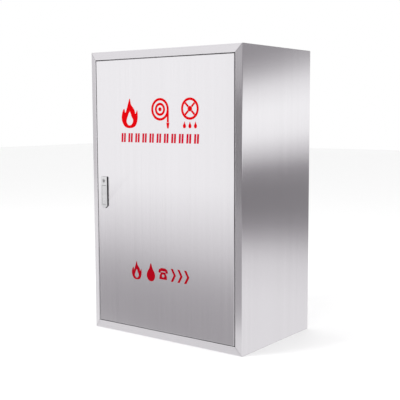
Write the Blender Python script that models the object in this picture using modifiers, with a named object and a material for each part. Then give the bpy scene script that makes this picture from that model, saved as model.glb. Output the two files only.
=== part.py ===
"""Standpipe cabinet of folded stainless sheet, with its door, plane lock, hose valve, hose and nozzle.

The frame is metres with +Z up. The origin is the middle of the base, halfway through the overall depth.
-Y is the front, +X is the hinge side. Run it with: blender --background --python part.py
"""

import math

import bmesh
import bpy
from mathutils import Matrix, Vector

# Cabinet shell
CABINET_WIDTH = 0.650
CABINET_HEIGHT = 1.000
CABINET_DEPTH = 0.430
SHEET = 0.0012
BEND_RADIUS = 0.0022
FRONT_FLANGE = 0.028  # width of the front frame above, below and at the hinge side
LOCK_FLANGE = 0.0205  # width of the front frame at the lock side
RETURN_DEPTH = 0.025  # how far the frame turns back beside the door
STOP_LIP = 0.010  # the lip behind the door's edge
MITRE_GAP = 0.0004
FREE_GAP = 0.0003  # between pieces that touch
KNOCKOUT_RADIUS = 0.042

# Door
DOOR_GAP = 0.0025
DOOR_THICKNESS = 0.016
DOOR_SHEET = 0.0010
DOOR_RETURN = 0.014
HINGE_SETBACK = 0.006  # pin axis behind the door's front face
HINGE_INSET = 0.012  # pin axis from the door's hinge edge
PIN_RADIUS = 0.003
RUNNING_GAP = 0.0003

# Plane lock
LOCK_PROUD = 0.005
LOCK_WIDTH = 0.029
LOCK_HEIGHT = 0.114
LOCK_FROM_SIDE = 0.056  # lock centre line from the cabinet's outer side
LOCK_BOTTOM = 0.445
LOCK_CORNER_X = 0.0105
LOCK_CORNER_Z = 0.0090
FACE_THICKNESS = 0.0014
CYLINDER_BELOW_TOP = 0.0155
CYLINDER_RADIUS = 0.0070
BARREL_RADIUS = 0.0090
FLAP_WIDTH = 0.0185
FLAP_TOP_BELOW = 0.0340  # flap pin below the top of the lock
FLAP_LENGTH = 0.0660
FLAP_PIN_RADIUS = 0.0007
FLAP_PIN_FRONT = 0.0028  # flap pin in front of the door's face
KNUCKLE_RADIUS = 0.0017
RECESS_FLOOR = 0.0008
NOTCH = 0.0008  # nail gap under the flap

# Hose valve
VALVE_FROM_SIDE = 0.140
VALVE_FROM_BACK = 0.100
PIPE_RADIUS = 0.038
PIPE_WALL = 0.005
SEAT_HEIGHT = 0.185
BODY_TOP = 0.258
CHAMBER_RADIUS = 0.042
BODY_RADIUS = 0.052
OUTLET_HEIGHT = 0.216
OUTLET_REACH = 0.100
STEM_RADIUS = 0.008
WHEEL_RADIUS = 0.062
WHEEL_RIM = 0.007
WHEEL_HEIGHT = 0.331

# Hose: 25 m of 65 mm lay-flat hose, 2.6 mm thick when flat, in one roll
HOSE_LENGTH = 25.0
HOSE_FLAT = 0.0026
HOSE_WIDTH = 0.102
ROLL_BORE = 0.062
ROLL_X = 0.135
ROLL_Z = 0.330
ROLL_FROM_BACK = 0.110
COUPLING_RADIUS = 0.049
COUPLING_LENGTH = 0.072
COUPLING_BORE = 0.027
TAIL_END = 0.020  # where the tail meets its coupling, right of the roll's centre
STRAP_TURN = 12  # degrees below the level
STRAP_HALF_BAND = 0.0125
STRAP_THICKNESS = 0.0015

# Nozzle
NOZZLE_X = -0.205
NOZZLE_FROM_BACK = 0.056
NOZZLE_BOTTOM = 0.500
NOZZLE_LENGTH = 0.395

Y_BACK = (CABINET_DEPTH + LOCK_PROUD) / 2
Y_FRONT = Y_BACK - CABINET_DEPTH
Y_PANEL = Y_BACK - SHEET  # inner face of the back panel
LOCK_X = LOCK_FROM_SIDE - CABINET_WIDTH / 2
LOCK_TOP = LOCK_BOTTOM + LOCK_HEIGHT
CYLINDER_Z = LOCK_TOP - CYLINDER_BELOW_TOP
FLAP_Z = LOCK_TOP - FLAP_TOP_BELOW
DOOR_WIDTH = CABINET_WIDTH - LOCK_FLANGE - FRONT_FLANGE - 2 * DOOR_GAP
DOOR_X = (LOCK_FLANGE - FRONT_FLANGE) / 2
DOOR_HEIGHT = CABINET_HEIGHT - 2 * (FRONT_FLANGE + DOOR_GAP)
DOOR_TOP = CABINET_HEIGHT - FRONT_FLANGE - DOOR_GAP
DOOR_BOTTOM = FRONT_FLANGE + DOOR_GAP
HINGE_X = DOOR_X + DOOR_WIDTH / 2 - HINGE_INSET
HINGE_Y = Y_FRONT + HINGE_SETBACK
VALVE_X = VALVE_FROM_SIDE - CABINET_WIDTH / 2
VALVE_Y = Y_BACK - VALVE_FROM_BACK
ROLL_RADIUS = math.sqrt(ROLL_BORE**2 + HOSE_LENGTH * HOSE_FLAT / math.pi)
ROLL_Y = Y_BACK - ROLL_FROM_BACK
NOZZLE_Y = Y_BACK - NOZZLE_FROM_BACK

TURN_Y = Matrix.Rotation(math.radians(90), 4, "X")  # local +Z points to the front
ROUND = 24
SMALL_ROUND = 16


def clear_scene():
    for thing in list(bpy.data.objects):
        bpy.data.objects.remove(thing, do_unlink=True)


def new_collection(name):
    made = bpy.data.collections.new(name)
    bpy.context.scene.collection.children.link(made)
    return made


def new_material(name, colour, roughness, metallic):
    made = bpy.data.materials.new(name)
    made.use_nodes = True
    shader = made.node_tree.nodes["Principled BSDF"]
    shader.inputs["Base Color"].default_value = (*colour, 1.0)
    shader.inputs["Roughness"].default_value = roughness
    shader.inputs["Metallic"].default_value = metallic
    made.diffuse_color = (*colour, 1.0)
    return made


clear_scene()
CABINET = new_collection("standpipe_cabinet")
CUTTERS = new_collection("cutters")
CUTTERS.hide_render = True

STAINLESS = new_material("brushed_stainless", (0.78, 0.77, 0.79), 0.30, 1.0)
SATIN = new_material("satin_chrome", (0.82, 0.82, 0.83), 0.22, 1.0)
BLACK = new_material("black_plastic", (0.02, 0.02, 0.02), 0.45, 0.0)
RED = new_material("red_enamel", (0.62, 0.02, 0.02), 0.35, 0.0)
BRASS = new_material("brass", (0.78, 0.58, 0.28), 0.30, 1.0)
ALUMINIUM = new_material("cast_aluminium", (0.75, 0.76, 0.78), 0.42, 1.0)
RUBBER = new_material("rubber", (0.03, 0.03, 0.03), 0.75, 0.0)
ZINC = new_material("zinc_steel", (0.62, 0.64, 0.66), 0.38, 1.0)
NYLON = new_material("nylon", (0.06, 0.06, 0.06), 0.50, 0.0)
FABRIC = new_material("hose_fabric", (0.83, 0.81, 0.74), 0.85, 0.0)


def axis_empty(name, place):
    """The empty that a moving group hangs on, standing on its joint's axis."""
    made = bpy.data.objects.new(name, None)
    made.matrix_world = Matrix.Translation(place)
    CABINET.objects.link(made)
    return made


DOOR_AXIS = axis_empty("door_axis", (HINGE_X, HINGE_Y, 0))
FLAP_AXIS = axis_empty("flap_axis", (LOCK_X, Y_FRONT - FLAP_PIN_FRONT, FLAP_Z))
LOCK_AXIS = axis_empty("lock_axis", (LOCK_X, Y_FRONT, CYLINDER_Z))
VALVE_AXIS = axis_empty("valve_axis", (VALVE_X, VALVE_Y, 0))
HOSE_AXIS = axis_empty("hose_axis", (ROLL_X, ROLL_Y, ROLL_Z))
NOZZLE_AXIS = axis_empty("nozzle_axis", (NOZZLE_X, NOZZLE_Y, NOZZLE_BOTTOM))


def place(made, look, matrix, parent=None):
    """Puts a new object in the cabinet's collection, with its material, its place and its parent."""
    if made.data.materials:
        made.data.materials.clear()
    made.data.materials.append(look)
    made.matrix_world = matrix
    CABINET.objects.link(made)
    if parent:
        made.parent = parent
        made.matrix_parent_inverse = parent.matrix_world.inverted()
    return made


def shade_round(mesh):
    mesh.shade_smooth()
    mesh.set_sharp_from_angle(angle=math.radians(35))


def block(name, low, high, look, parent=None):
    """A rectangular block between two corners in world space."""
    low, high = Vector(low), Vector(high)
    size = high - low
    shape = bmesh.new()
    bmesh.ops.create_cube(shape, size=1.0, matrix=Matrix.Diagonal((*size, 1.0)))
    mesh = bpy.data.meshes.new(name)
    shape.to_mesh(mesh)
    shape.free()
    return place(bpy.data.objects.new(name, mesh), look, Matrix.Translation((low + high) / 2), parent)


def turned(name, profile, look, matrix, parent=None, steps=ROUND):
    """A lathe shape from (radius, height) pairs, down the outer side. It closes if off the axis."""
    mesh = bpy.data.meshes.new(name)
    points = [(radius, 0, height) for radius, height in profile]
    on_axis = profile[0][0] == 0 and profile[-1][0] == 0
    last = len(points) if not on_axis else len(points) - 1
    mesh.from_pydata(points, [(i, (i + 1) % len(points)) for i in range(last)], [])
    made = place(bpy.data.objects.new(name, mesh), look, matrix, parent)
    screw = made.modifiers.new("turn", "SCREW")
    screw.steps = screw.render_steps = steps
    screw.use_merge_vertices = True
    screw.merge_threshold = 1e-6
    screw.use_smooth_shade = True
    return made


def outline_mesh(name, outline, length):
    """A flat outline in XY, as a filled curve, made thick along Z on both sides."""
    curve = bpy.data.curves.new(name, "CURVE")
    curve.dimensions = "2D"
    curve.fill_mode = "BOTH"
    curve.extrude = length / 2
    spline = curve.splines.new("POLY")
    spline.points.add(len(outline) - 1)
    for point, (x, y) in zip(spline.points, outline):
        point.co = (x, y, 0, 1)
    spline.use_cyclic_u = True
    drawn = bpy.data.objects.new(name, curve)
    bpy.context.scene.collection.objects.link(drawn)
    graph = bpy.context.evaluated_depsgraph_get()
    mesh = bpy.data.meshes.new_from_object(drawn.evaluated_get(graph))
    bpy.data.objects.remove(drawn)
    shape = bmesh.new()
    shape.from_mesh(mesh)
    bmesh.ops.remove_doubles(shape, verts=shape.verts, dist=1e-6)
    bmesh.ops.recalc_face_normals(shape, faces=shape.faces)
    shape.to_mesh(mesh)
    shape.free()
    return mesh


def prism(name, outline, length, look, matrix, parent=None):
    mesh = outline_mesh(name, outline, length)
    return place(bpy.data.objects.new(name, mesh), look, matrix, parent)


def as_cutter(thing):
    for owner in list(thing.users_collection):
        owner.objects.unlink(thing)
    CUTTERS.objects.link(thing)
    thing.hide_render = True
    thing.display_type = "WIRE"
    return thing


def boolean(target, other, operation):
    modifier = target.modifiers.new(operation.lower(), "BOOLEAN")
    modifier.operation = operation
    modifier.solver = "EXACT"
    modifier.object = as_cutter(other)
    return target


def cut(target, *cutters):
    for cutter in cutters:
        boolean(target, cutter, "DIFFERENCE")
    return target


def weld_on(target, *others):
    for other in others:
        boolean(target, other, "UNION")
    return target


def drill(name, radius, start, end, parent=None, steps=ROUND):
    """A round cutter from start to end, two points in world space."""
    start, end = Vector(start), Vector(end)
    along = end - start
    turn = along.to_track_quat("Z", "Y").to_matrix().to_4x4()
    profile = [(0, along.length), (radius, along.length), (radius, 0), (0, 0)]
    return turned(name, profile, ZINC, Matrix.Translation(start) @ turn, parent, steps)


def fold_outline(path, thickness, bend, steps=3):
    """The outline of a folded sheet: path is its middle line, and bend the middle radius at each corner."""
    path = [Vector(point) for point in path]
    line = []
    for i, point in enumerate(path):
        if i in (0, len(path) - 1):
            along = (path[1] - path[0]) if i == 0 else (path[-1] - path[-2])
            along.normalize()
            line.append((point, Vector((-along.y, along.x))))
            continue
        before = (point - path[i - 1]).normalized()
        after = (path[i + 1] - point).normalized()
        angle = math.atan2(before.x * after.y - before.y * after.x, before.dot(after))
        side = Vector((-before.y, before.x)) * math.copysign(1, angle)
        start = point - before * (bend * math.tan(abs(angle) / 2))
        centre = start + side * bend
        for k in range(steps + 1):
            turn = Matrix.Rotation(angle * k / steps, 2)
            line.append((centre + turn @ (start - centre), turn @ Vector((-before.y, before.x))))
    half = thickness / 2
    left = [tuple(point + normal * half) for point, normal in line]
    right = [tuple(point - normal * half) for point, normal in line]
    return left + right[::-1]


def hexagon(across_flats):
    radius = across_flats / math.sqrt(3)
    return [
        (radius * math.cos(math.radians(60 * k)), radius * math.sin(math.radians(60 * k))) for k in range(6)
    ]


def arc_points(radius, start, end, steps):
    """Points on a circle about the origin, from one angle in degrees to another."""
    angles = [math.radians(start + (end - start) * k / steps) for k in range(steps + 1)]
    return [(radius * math.cos(a), radius * math.sin(a)) for a in angles]


# Shell: one folded profile makes the four walls, each with its part of the mitred front frame


def mitre(inwards, flange, other):
    """How far a wall's end lies from the corner, where a wall with this flange meets the other flange."""
    return inwards * other / flange if inwards < flange else other + inwards - flange


def folded_wall(name, length, location, turn, flange, low_end, high_end):
    """A wall with front flange, return beside the door and stop lip. Local X runs inwards, Y backwards."""
    half = SHEET / 2
    path = [
        (half, CABINET_DEPTH),
        (half, half),
        (flange - half, half),
        (flange - half, RETURN_DEPTH - half),
        (flange + STOP_LIP, RETURN_DEPTH - half),
    ]
    wall = prism(name, fold_outline(path, SHEET, BEND_RADIUS), length, STAINLESS, Matrix())
    for vertex in wall.data.vertices:
        other = low_end if vertex.co.z < 0 else high_end
        reach = length / 2 - mitre(vertex.co.x, flange, other) - MITRE_GAP
        vertex.co.z = math.copysign(reach, vertex.co.z)
    wall.matrix_world = Matrix.Translation(location) @ Matrix.Rotation(math.radians(turn), 4, "Y")
    shade_round(wall.data)
    return wall


def shell():
    side, height, width = CABINET_WIDTH / 2, CABINET_HEIGHT, CABINET_WIDTH
    hinge_side, lock_side = FRONT_FLANGE, LOCK_FLANGE
    folded_wall(
        "left_side_panel", height, (-side, Y_FRONT, height / 2), 0, lock_side, hinge_side, hinge_side
    )
    folded_wall(
        "right_side_panel", height, (side, Y_FRONT, height / 2), 180, hinge_side, hinge_side, hinge_side
    )
    top = folded_wall("top_panel", width, (0, Y_FRONT, height), 90, hinge_side, lock_side, hinge_side)
    bottom = folded_wall("bottom_panel", width, (0, Y_FRONT, 0), -90, hinge_side, hinge_side, lock_side)
    for panel, level in ((top, height - FRONT_FLANGE), (bottom, FRONT_FLANGE)):
        low, high = (HINGE_X, HINGE_Y, level - 0.004), (HINGE_X, HINGE_Y, level + 0.004)
        cut(panel, drill(panel.name + "_pin_hole", PIN_RADIUS + FREE_GAP, low, high, steps=SMALL_ROUND))
    pipe_hole = drill("pipe_hole", PIPE_RADIUS + 0.004, (VALVE_X, VALVE_Y, -0.01), (VALVE_X, VALVE_Y, 0.01))
    cut(bottom, pipe_hole)


def fixing_hole_places():
    return [(x, z) for x in (-0.250, 0.250) for z in (0.080, 0.920)]


def back_panel():
    side = CABINET_WIDTH / 2 - SHEET - FREE_GAP
    low, high = SHEET + FREE_GAP, CABINET_HEIGHT - SHEET - FREE_GAP
    panel = block("back_panel", (-side, Y_PANEL, low), (side, Y_BACK, high), STAINLESS)
    before, behind = Y_PANEL - 0.01, Y_BACK + 0.01
    for i, (x, z) in enumerate(fixing_hole_places()):
        cut(panel, drill(f"fixing_hole_{i}", 0.0055, (x, before, z), (x, behind, z), steps=SMALL_ROUND))
    for i, (x, z) in enumerate(rivet_places()):
        cut(panel, drill(f"rivet_hole_{i}", 0.0023, (x, before, z), (x, behind, z), steps=12))
    x, z = knockout_place()
    cut(panel, drill("knockout_hole", KNOCKOUT_RADIUS, (x, before, z), (x, behind, z)))
    flange, depth = KNOCKOUT_RADIUS + 0.006, 0.0015
    profile = [
        (0, FREE_GAP + depth),
        (flange, FREE_GAP + depth),
        (flange, FREE_GAP),
        (KNOCKOUT_RADIUS - FREE_GAP, FREE_GAP),
        (KNOCKOUT_RADIUS - FREE_GAP, -SHEET),
        (0, -SHEET),
    ]
    turned("knockout_plug", profile, ZINC, Matrix.Translation((x, Y_PANEL, z)) @ TURN_Y)


def knockout_place():
    return VALVE_X, 0.390


# Hinge: pins in the frame, nylon bushes in the door


def hinge():
    for end, level, sign in (("top", CABINET_HEIGHT - FRONT_FLANGE, 1), ("bottom", FRONT_FLANGE, -1)):
        turn = Matrix() if sign > 0 else Matrix.Rotation(math.pi, 4, "X")
        at = Matrix.Translation((HINGE_X, HINGE_Y, level)) @ turn
        head = SHEET + FREE_GAP
        pin = [(0, head + 0.002), (0.0039, head + 0.002), (0.0039, head), (PIN_RADIUS, head)]
        pin += [(PIN_RADIUS, -0.0150), (PIN_RADIUS - 0.0008, -0.0158), (0, -0.0158)]
        turned(f"hinge_pin_{end}", pin, ZINC, at, steps=SMALL_ROUND)
        bore = PIN_RADIUS + RUNNING_GAP
        bush = [
            (bore, -DOOR_GAP + 0.0013),
            (0.0052, -DOOR_GAP + 0.0013),
            (0.0052, -DOOR_GAP + FREE_GAP),
            (0.0046, -DOOR_GAP + FREE_GAP),
            (0.0046, -DOOR_GAP - 0.012),
            (bore, -DOOR_GAP - 0.012),
        ]
        turned(f"hinge_bush_{end}", bush, NYLON, at, DOOR_AXIS, steps=SMALL_ROUND)
    bore, low = PIN_RADIUS + FREE_GAP, FRONT_FLANGE + FREE_GAP
    washer = [(bore, low + 0.0006), (0.0055, low + 0.0006), (0.0055, low), (bore, low)]
    turned("hinge_washer", washer, ZINC, Matrix.Translation((HINGE_X, HINGE_Y, 0)), steps=SMALL_ROUND)


# Door: a folded pan with returned edges, a hat stiffener and the catch plate


def door_skin():
    shape = bmesh.new()
    size = Matrix.Diagonal((DOOR_WIDTH, DOOR_THICKNESS, DOOR_HEIGHT, 1))
    bmesh.ops.create_cube(shape, size=1.0, matrix=size)
    shape.normal_update()
    front = [e for e in shape.edges if all(v.co.y < 0 for v in e.verts)]
    bmesh.ops.bevel(shape, geom=front, offset=0.0016, segments=2, affect="EDGES", profile=0.5, material=-1)
    shape.normal_update()
    back = [f for f in shape.faces if f.normal.y > 0.9]
    bmesh.ops.inset_individual(shape, faces=back, thickness=DOOR_RETURN, use_even_offset=True)
    bmesh.ops.delete(shape, geom=back, context="FACES")
    mesh = bpy.data.meshes.new("door_skin")
    shape.to_mesh(mesh)
    shape.free()
    centre = Matrix.Translation((DOOR_X, Y_FRONT + DOOR_THICKNESS / 2, CABINET_HEIGHT / 2))
    skin = place(bpy.data.objects.new("door_skin", mesh), STAINLESS, centre, DOOR_AXIS)
    solid = skin.modifiers.new("sheet", "SOLIDIFY")
    solid.thickness = DOOR_SHEET
    solid.offset = -1
    solid.use_even_offset = True
    bush_hole = 0.0046 + FREE_GAP
    for end, level in (("top", DOOR_TOP), ("bottom", DOOR_BOTTOM)):
        low, high = (HINGE_X, HINGE_Y, level - 0.004), (HINGE_X, HINGE_Y, level + 0.004)
        cut(skin, drill(f"bush_hole_{end}", bush_hole, low, high, steps=SMALL_ROUND))
    front, behind = Y_FRONT - 0.004, Y_FRONT + 0.004
    cut(
        skin,
        drill(
            "barrel_hole",
            BARREL_RADIUS + FREE_GAP,
            (LOCK_X, front, CYLINDER_Z),
            (LOCK_X, behind, CYLINDER_Z),
        ),
    )
    screw_z = lock_screw_height()
    cut(
        skin,
        drill("lock_screw_hole", 0.0023, (LOCK_X, front, screw_z), (LOCK_X, behind, screw_z), steps=12),
    )


def door_stiffener():
    """A hat channel up the middle of the door, spot-welded behind its face."""
    half = DOOR_SHEET / 2
    crown, foot, height = 0.030, 0.052, 0.0105
    path = [
        (-foot, half),
        (-crown - 0.004, half),
        (-crown, height),
        (crown, height),
        (crown + 0.004, half),
        (foot, half),
    ]
    outline = fold_outline(path, DOOR_SHEET, 0.0015, steps=2)
    at = Matrix.Translation((DOOR_X, Y_FRONT + DOOR_SHEET + FREE_GAP, CABINET_HEIGHT / 2))
    prism("door_stiffener", outline, DOOR_HEIGHT - 0.080, STAINLESS, at, DOOR_AXIS)


def catch_and_bumpers():
    """A magnet on the frame's stop lip, its strike plate on the door, and two rubber bumpers."""
    lip = Y_FRONT + RETURN_DEPTH - SHEET
    door_back = Y_FRONT + DOOR_THICKNESS
    x_low = -CABINET_WIDTH / 2 + LOCK_FLANGE + 0.0008
    x_high = x_low + STOP_LIP - 0.0004
    block("magnet_catch", (x_low, door_back + 0.0018, 0.640), (x_high, lip - FREE_GAP, 0.690), BLACK)
    low, high = (x_low + 0.0026, door_back + FREE_GAP, 0.643), (x_high + 0.002, door_back + 0.0013, 0.687)
    block("strike_plate", low, high, ZINC, DOOR_AXIS)
    for name, z in (("bumper_top", 0.930), ("bumper_bottom", 0.070)):
        depth = lip - FREE_GAP - (door_back + 0.0006)
        profile = [(0, depth), (0.0032, depth), (0.0042, 0), (0, 0)]
        at = Matrix.Translation((x_low + 0.0046, lip - FREE_GAP, z)) @ TURN_Y
        turned(name, profile, RUBBER, at, steps=SMALL_ROUND)


# Plane lock: black body, satin face, swing-out pull flap, key cylinder with its cam


def lock_outline(inset):
    """The lock seen from the front: square at the top, with cut corners at the bottom."""
    half, x, z = LOCK_WIDTH / 2 - inset, LOCK_CORNER_X, LOCK_CORNER_Z
    low, high = LOCK_BOTTOM + inset, LOCK_TOP - inset
    corner = 0.0015
    right = [(half, low + z), (half, high - corner), (half - corner, high)]
    bottom_right = [(half - x, low)]
    left = [(-px, pz) for px, pz in reversed(bottom_right + right)]
    return bottom_right + right + left


def slab(name, outline, near, far, look, parent=None):
    """An upright outline on the lock centre line, between two distances in front of the door."""
    at = Matrix.Translation((LOCK_X, Y_FRONT - (near + far) / 2, 0)) @ TURN_Y
    return prism(name, outline, far - near, look, at, parent)


def rectangle(half_width, low, high):
    return [(-half_width, low), (half_width, low), (half_width, high), (-half_width, high)]


def lock_screw_height():
    return LOCK_BOTTOM + 0.0085


def plane_lock():
    body_front = LOCK_PROUD - FACE_THICKNESS - FREE_GAP
    window_low, window_high = FLAP_Z - FLAP_LENGTH - NOTCH, FLAP_Z + 0.0026
    window_half = FLAP_WIDTH / 2 + 0.0004
    body = slab("lock_body", lock_outline(0), FREE_GAP, body_front, BLACK, DOOR_AXIS)
    barrel_tail = 0.0235
    weld_on(
        body,
        drill(
            "lock_barrel",
            BARREL_RADIUS,
            (LOCK_X, Y_FRONT - 0.003, CYLINDER_Z),
            (LOCK_X, Y_FRONT + barrel_tail, CYLINDER_Z),
        ),
    )
    cut(
        body,
        slab("lock_recess", rectangle(window_half, window_low, window_high), RECESS_FLOOR, 0.0200, BLACK),
    )
    fore = Y_FRONT - 0.020
    pin_y, pin_half = Y_FRONT - FLAP_PIN_FRONT, 0.0118
    pin_ends = (LOCK_X - pin_half, pin_y, FLAP_Z), (LOCK_X + pin_half, pin_y, FLAP_Z)
    slot_half, slot_end = FLAP_PIN_RADIUS + FREE_GAP, pin_half + FREE_GAP
    low = (LOCK_X - slot_end, fore, FLAP_Z - slot_half)
    high = (LOCK_X + slot_end, pin_y + slot_half, FLAP_Z + slot_half)
    cut(body, block("pin_slot", low, high, BLACK))
    screw_z = lock_screw_height()
    cut(
        body,
        drill(
            "screw_bore",
            0.0018,
            (LOCK_X, Y_FRONT + 0.001, screw_z),
            (LOCK_X, Y_FRONT - 0.0015, screw_z),
            steps=12,
        ),
    )
    seat, bore, step = CYLINDER_RADIUS + FREE_GAP, CYLINDER_RADIUS - 0.0015, 0.0030
    stepped = [(0, 0.020), (seat, 0.020), (seat, step), (bore, step), (bore, -0.030), (0, -0.030)]
    cylinder_at = Matrix.Translation((LOCK_X, Y_FRONT, CYLINDER_Z)) @ TURN_Y
    cut(body, turned("cylinder_bore", stepped, BLACK, cylinder_at))

    face = slab("lock_face", lock_outline(0), body_front + FREE_GAP, LOCK_PROUD, SATIN, DOOR_AXIS)
    cut(face, slab("face_window", rectangle(window_half, window_low, window_high), 0.0020, 0.0200, BLACK))
    cut(
        face,
        drill(
            "face_hole",
            CYLINDER_RADIUS + FREE_GAP,
            (LOCK_X, Y_FRONT, CYLINDER_Z),
            (LOCK_X, fore, CYLINDER_Z),
        ),
    )

    drill("flap_pin", FLAP_PIN_RADIUS, *pin_ends, DOOR_AXIS, SMALL_ROUND).data.materials[0] = ZINC
    pull_flap(pin_y)

    nut = prism(
        "lock_nut",
        hexagon(0.024),
        0.004,
        ZINC,
        Matrix.Translation((LOCK_X, Y_FRONT + DOOR_SHEET + FREE_GAP + 0.002, CYLINDER_Z)) @ TURN_Y,
        DOOR_AXIS,
    )
    cut(
        nut,
        drill(
            "nut_bore",
            BARREL_RADIUS + FREE_GAP,
            (LOCK_X, Y_FRONT - 0.01, CYLINDER_Z),
            (LOCK_X, Y_FRONT + 0.02, CYLINDER_Z),
        ),
    )
    head = DOOR_SHEET + FREE_GAP
    screw = [
        (0, 0.0013),
        (0.0015, 0.0013),
        (0.0015, -head),
        (0.0036, -head),
        (0.0032, -head - 0.0020),
        (0, -head - 0.0022),
    ]
    turned(
        "lock_screw", screw, ZINC, Matrix.Translation((LOCK_X, Y_FRONT, screw_z)) @ TURN_Y, DOOR_AXIS, 12
    )

    lock_cylinder(barrel_tail)


def pull_flap(pin_y):
    """The flap hangs from its pin and lies flush in the lock's face."""
    low, high = FLAP_Z - FLAP_LENGTH, FLAP_Z + 0.0014
    flap = slab(
        "pull_flap",
        rectangle(FLAP_WIDTH / 2, low, high),
        LOCK_PROUD - 0.00235,
        LOCK_PROUD - 0.0003,
        SATIN,
        FLAP_AXIS,
    )
    half = FLAP_WIDTH / 2
    knuckle = drill(
        "flap_knuckle",
        KNUCKLE_RADIUS,
        (LOCK_X - half, pin_y, FLAP_Z),
        (LOCK_X + half, pin_y, FLAP_Z),
        steps=SMALL_ROUND,
    )
    bore = drill(
        "flap_bore",
        FLAP_PIN_RADIUS + FREE_GAP,
        (LOCK_X - 0.02, pin_y, FLAP_Z),
        (LOCK_X + 0.02, pin_y, FLAP_Z),
        steps=SMALL_ROUND,
    )
    weld_on(flap, knuckle)
    cut(flap, bore)


def lock_cylinder(barrel_tail):
    """The key cylinder runs through the barrel and carries the cam behind the door."""
    shaft = CYLINDER_RADIUS - 0.0018
    square = 0.0030
    front, step, tail = LOCK_PROUD - 0.0003, 0.0033, -(barrel_tail + 0.0055)
    profile = [(0, front), (CYLINDER_RADIUS - 0.0006, front), (CYLINDER_RADIUS, front - 0.0006)]
    profile += [
        (CYLINDER_RADIUS, step),
        (shaft, step),
        (shaft, -barrel_tail),
        (square, -barrel_tail),
        (square, tail),
        (0, tail),
    ]
    at = Matrix.Translation((LOCK_X, Y_FRONT, CYLINDER_Z)) @ TURN_Y
    cylinder = turned("lock_cylinder", profile, SATIN, at, LOCK_AXIS, ROUND)
    key_y = Y_FRONT - LOCK_PROUD
    for name, lean in (("key_slot_right", 45), ("key_slot_left", -45)):
        low = (LOCK_X - 0.0010, key_y - 0.001, CYLINDER_Z - 0.0048)
        high = (LOCK_X + 0.0010, key_y + 0.0030, CYLINDER_Z + 0.0048)
        slot = block(name, low, high, BLACK)
        slot.matrix_world = slot.matrix_world @ Matrix.Rotation(math.radians(lean), 4, "Y")
        cut(cylinder, slot)
    cam_near, cam_far = barrel_tail + 0.0018, barrel_tail + 0.0038
    outline = [
        (0.0075, 0.0075),
        (-0.0075, 0.0075),
        (-0.0075, -0.034),
        (-0.0045, -0.038),
        (0.0045, -0.038),
        (0.0075, -0.034),
    ]
    cam_at = Matrix.Translation((LOCK_X, Y_FRONT + (cam_near + cam_far) / 2, CYLINDER_Z)) @ TURN_Y
    cam = prism("latch_cam", outline, cam_far - cam_near, ZINC, cam_at, LOCK_AXIS)
    bore = square + FREE_GAP
    cut(
        cam,
        drill(
            "cam_bore",
            bore,
            (LOCK_X, Y_FRONT, CYLINDER_Z),
            (LOCK_X, Y_FRONT + 0.05, CYLINDER_Z),
            steps=SMALL_ROUND,
        ),
    )
    nut_at = Matrix.Translation((LOCK_X, Y_FRONT + cam_far + FREE_GAP + 0.0012, CYLINDER_Z)) @ TURN_Y
    nut = prism("cam_nut", hexagon(0.0100), 0.0024, ZINC, nut_at, LOCK_AXIS)
    cut(
        nut,
        drill(
            "cam_nut_bore",
            bore,
            (LOCK_X, Y_FRONT, CYLINDER_Z),
            (LOCK_X, Y_FRONT + 0.05, CYLINDER_Z),
            steps=SMALL_ROUND,
        ),
    )


# Hose valve: nipple through the base, angle body, bonnet, gland, rising stem with its disc and handwheel


def supply():
    at = Matrix.Translation((VALVE_X, VALVE_Y, 0))
    bore = PIPE_RADIUS - PIPE_WALL
    nipple = [(bore, 0.150), (PIPE_RADIUS, 0.150), (PIPE_RADIUS, 0.0005), (bore, 0.0005)]
    turned("inlet_nipple", nipple, ZINC, at)
    hole, hug = PIPE_RADIUS + 0.004, PIPE_RADIUS + FREE_GAP
    grommet = [
        (hug, 0.0060),
        (hole + 0.0080, 0.0060),
        (hole + 0.0100, SHEET + FREE_GAP),
        (hole - FREE_GAP, SHEET + FREE_GAP),
        (hole - FREE_GAP, 0.0004),
        (hug, 0.0004),
    ]
    turned("pipe_grommet", grommet, RUBBER, at)
    nut_low, nut_high = 0.0063, 0.0213
    nut = prism(
        "pipe_nut",
        hexagon(0.098),
        nut_high - nut_low,
        ZINC,
        Matrix.Translation((VALVE_X, VALVE_Y, (nut_low + nut_high) / 2)),
    )
    cut(nut, drill("pipe_nut_bore", hug, (VALVE_X, VALVE_Y, -0.01), (VALVE_X, VALVE_Y, 0.05)))


def valve_body():
    at = Matrix.Translation((VALVE_X, VALVE_Y, 0))
    outer = [
        (0, BODY_TOP),
        (BODY_RADIUS + 0.006, BODY_TOP),
        (BODY_RADIUS + 0.006, BODY_TOP - 0.010),
        (BODY_RADIUS, BODY_TOP - 0.014),
        (BODY_RADIUS, SEAT_HEIGHT - 0.004),
        (PIPE_RADIUS + 0.010, SEAT_HEIGHT - 0.020),
        (PIPE_RADIUS + 0.010, 0.128),
        (0, 0.128),
    ]
    body = turned("valve_body", outer, RED, at)
    mouth = VALVE_Y - OUTLET_REACH
    weld_on(
        body,
        drill("outlet_branch", 0.038, (VALVE_X, VALVE_Y, OUTLET_HEIGHT), (VALVE_X, mouth, OUTLET_HEIGHT)),
    )
    inner = [
        (0, BODY_TOP + 0.010),
        (CHAMBER_RADIUS, BODY_TOP + 0.010),
        (CHAMBER_RADIUS, SEAT_HEIGHT),
        (0.029, SEAT_HEIGHT),
        (0.029, 0.1505),
        (PIPE_RADIUS + FREE_GAP, 0.1505),
        (PIPE_RADIUS + FREE_GAP, 0.118),
        (0, 0.118),
    ]
    cut(body, turned("valve_bore", inner, RED, at))
    start, end = (VALVE_X, VALVE_Y - 0.011, OUTLET_HEIGHT), (VALVE_X, mouth - 0.01, OUTLET_HEIGHT)
    cut(body, drill("outlet_bore", COUPLING_BORE, start, end))


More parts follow.
